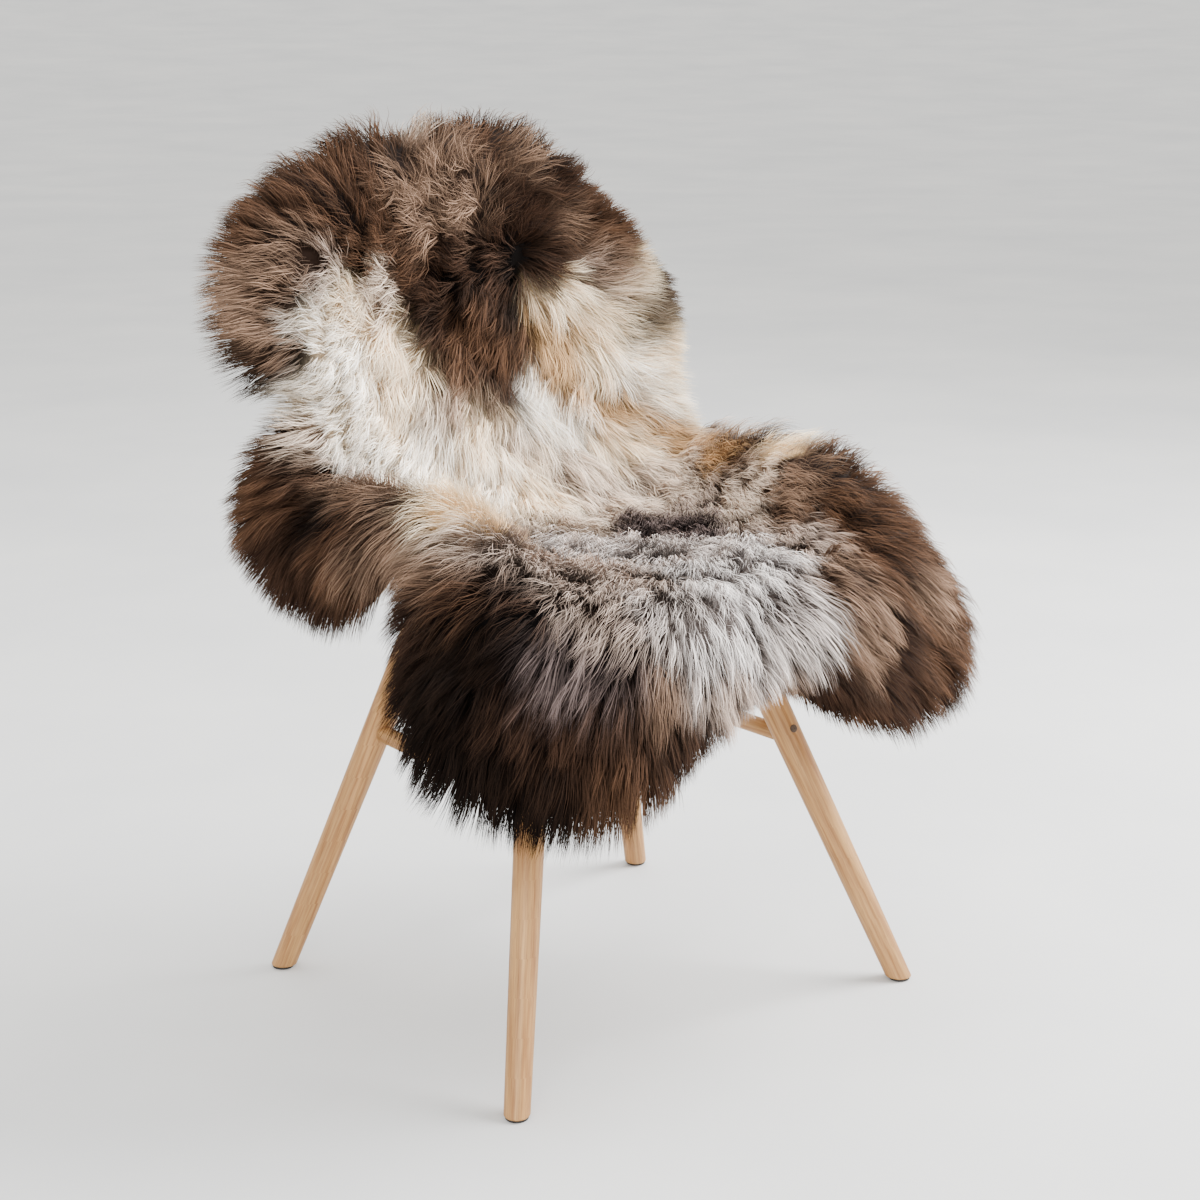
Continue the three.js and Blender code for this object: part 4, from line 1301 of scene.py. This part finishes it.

    # Each strand's colour runs from its tone's root colour at the hide to its tip colour; the dark at the
    # root is partly painted shade deep in the wool.
    frost = varied(product(own_luck, own_luck), "frost")
    lightened = product(height, number("ADD", frost, product(lock_luck, lock_luck, LOCK_FROST)))
    root_tone, tip_tone = carried("root_tone", "FLOAT_COLOR"), carried("tip_tone", "FLOAT_COLOR")
    blend = put_mix(tree, number("MINIMUM", lightened, 1.0), root_tone, tip_tone)
    brightness = product(
        varied(lock_luck, "brightness"), varied(twist, "turned shade"), varied(side, "edge shade")
    )
    grown = keep(grown, "wool_colour", "FLOAT_COLOR", put_scaled(tree, blend, brightness))
    finish = {"Geometry": grown, "Material": given["Finish"]}
    grown = put_node(tree, "GeometryNodeSetMaterial", finish, "Geometry")
    put_node(tree, "NodeGroupOutput", {"Geometry": grown})
    return tree


locks_tree = wool_tree()
for number_of, region in enumerate(REGIONS):
    part = bmesh.new()
    part.from_mesh(ground.data)
    others = [f for f in part.faces if f.material_index != number_of]
    bmesh.ops.delete(part, geom=others, context="FACES")
    mesh = bpy.data.meshes.new(f"wool_{region}")
    part.to_mesh(mesh)
    part.free()
    piece = put_in_scene(f"wool_{region}", mesh)
    growth = piece.modifiers.new("growth", "NODES")
    growth.node_group = locks_tree
    values = {**LOCK_SIZES, "Strand": strand, "Finish": wool_finish}
    values["Seed"] = FIRST_SEED + SEED_STEP * number_of
    for item in locks_tree.interface.items_tree:
        if item.in_out == "INPUT" and item.name in values:
            growth[item.identifier] = values[item.name]
    finished(piece)
    piece.data.materials.clear()
    piece.data.materials.append(wool_finish)
    for name in [layer.name for layer in piece.data.attributes]:
        layer = piece.data.attributes.get(name)
        if layer and not layer.is_required and not layer.is_internal and name != "wool_colour":
            piece.data.attributes.remove(layer)
    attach(piece, "root")
bpy.data.objects.remove(ground)
bpy.data.objects.remove(strand)
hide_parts("sheepskin", *(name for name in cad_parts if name.startswith("locks_")))

# The room: a plain pale floor of smooth screed that rises softly far behind, a broad soft light from
# the camera's right, a weaker one from its left, one from above and a pale sky of light all round.
FLOOR_RINGS = ((3, 0), (12, 0), (18, 0.2), (26, 0.9), (36, 2.4), (48, 5.0), (60, 8.6))
FLOOR_SIDES = 72
turns = [math.tau * step / FLOOR_SIDES for step in range(FLOOR_SIDES)]
spots = [(far * math.cos(a), far * math.sin(a), rise) for far, rise in FLOOR_RINGS for a in turns]
faces = [tuple(range(FLOOR_SIDES))]
for ring in range(len(FLOOR_RINGS) - 1):
    for step in range(FLOOR_SIDES):
        first, after = ring * FLOOR_SIDES + step, ring * FLOOR_SIDES + (step + 1) % FLOOR_SIDES
        faces.append((first, first + FLOOR_SIDES, after + FLOOR_SIDES, after))
mesh = bpy.data.meshes.new("floor")
mesh.from_pydata(spots, [], faces)
mesh.shade_smooth()
floor = put_in_scene("floor", mesh)
screed = mottled_finish(
    "floor_screed", roughness=0.8, scale=1.3, low=(194, 195, 196), high=(208, 208, 207)
)[0]
floor.data.materials.append(screed)
LIGHTS = {
    "window": {"place": (2.3, -1.1, 2.3), "size": 2.4, "power": 350.0},
    "fill": {"place": (-2.4, -2.2, 1.7), "size": 2.6, "power": 74.0},
    "top": {"place": (0.2, 0.6, 3.2), "size": 2.4, "power": 68.0},
}
for name, facts in LIGHTS.items():
    light = bpy.data.lights.new(name, "AREA")
    light.shape = "DISK"
    light.size = facts["size"]
    light.energy = facts["power"]
    lamp = put_in_scene(name, light)
    lamp.location = facts["place"]
    lamp.rotation_euler = (Vector((0, 0, 0.5)) - lamp.location).to_track_quat("-Z", "Y").to_euler()
world = bpy.data.worlds.new("room")
world.use_nodes = True
sky = world.node_tree.nodes["Background"].inputs
sky["Color"].default_value = linear(222, 221, 218)
sky["Strength"].default_value = 2.35
bpy.context.scene.world = world
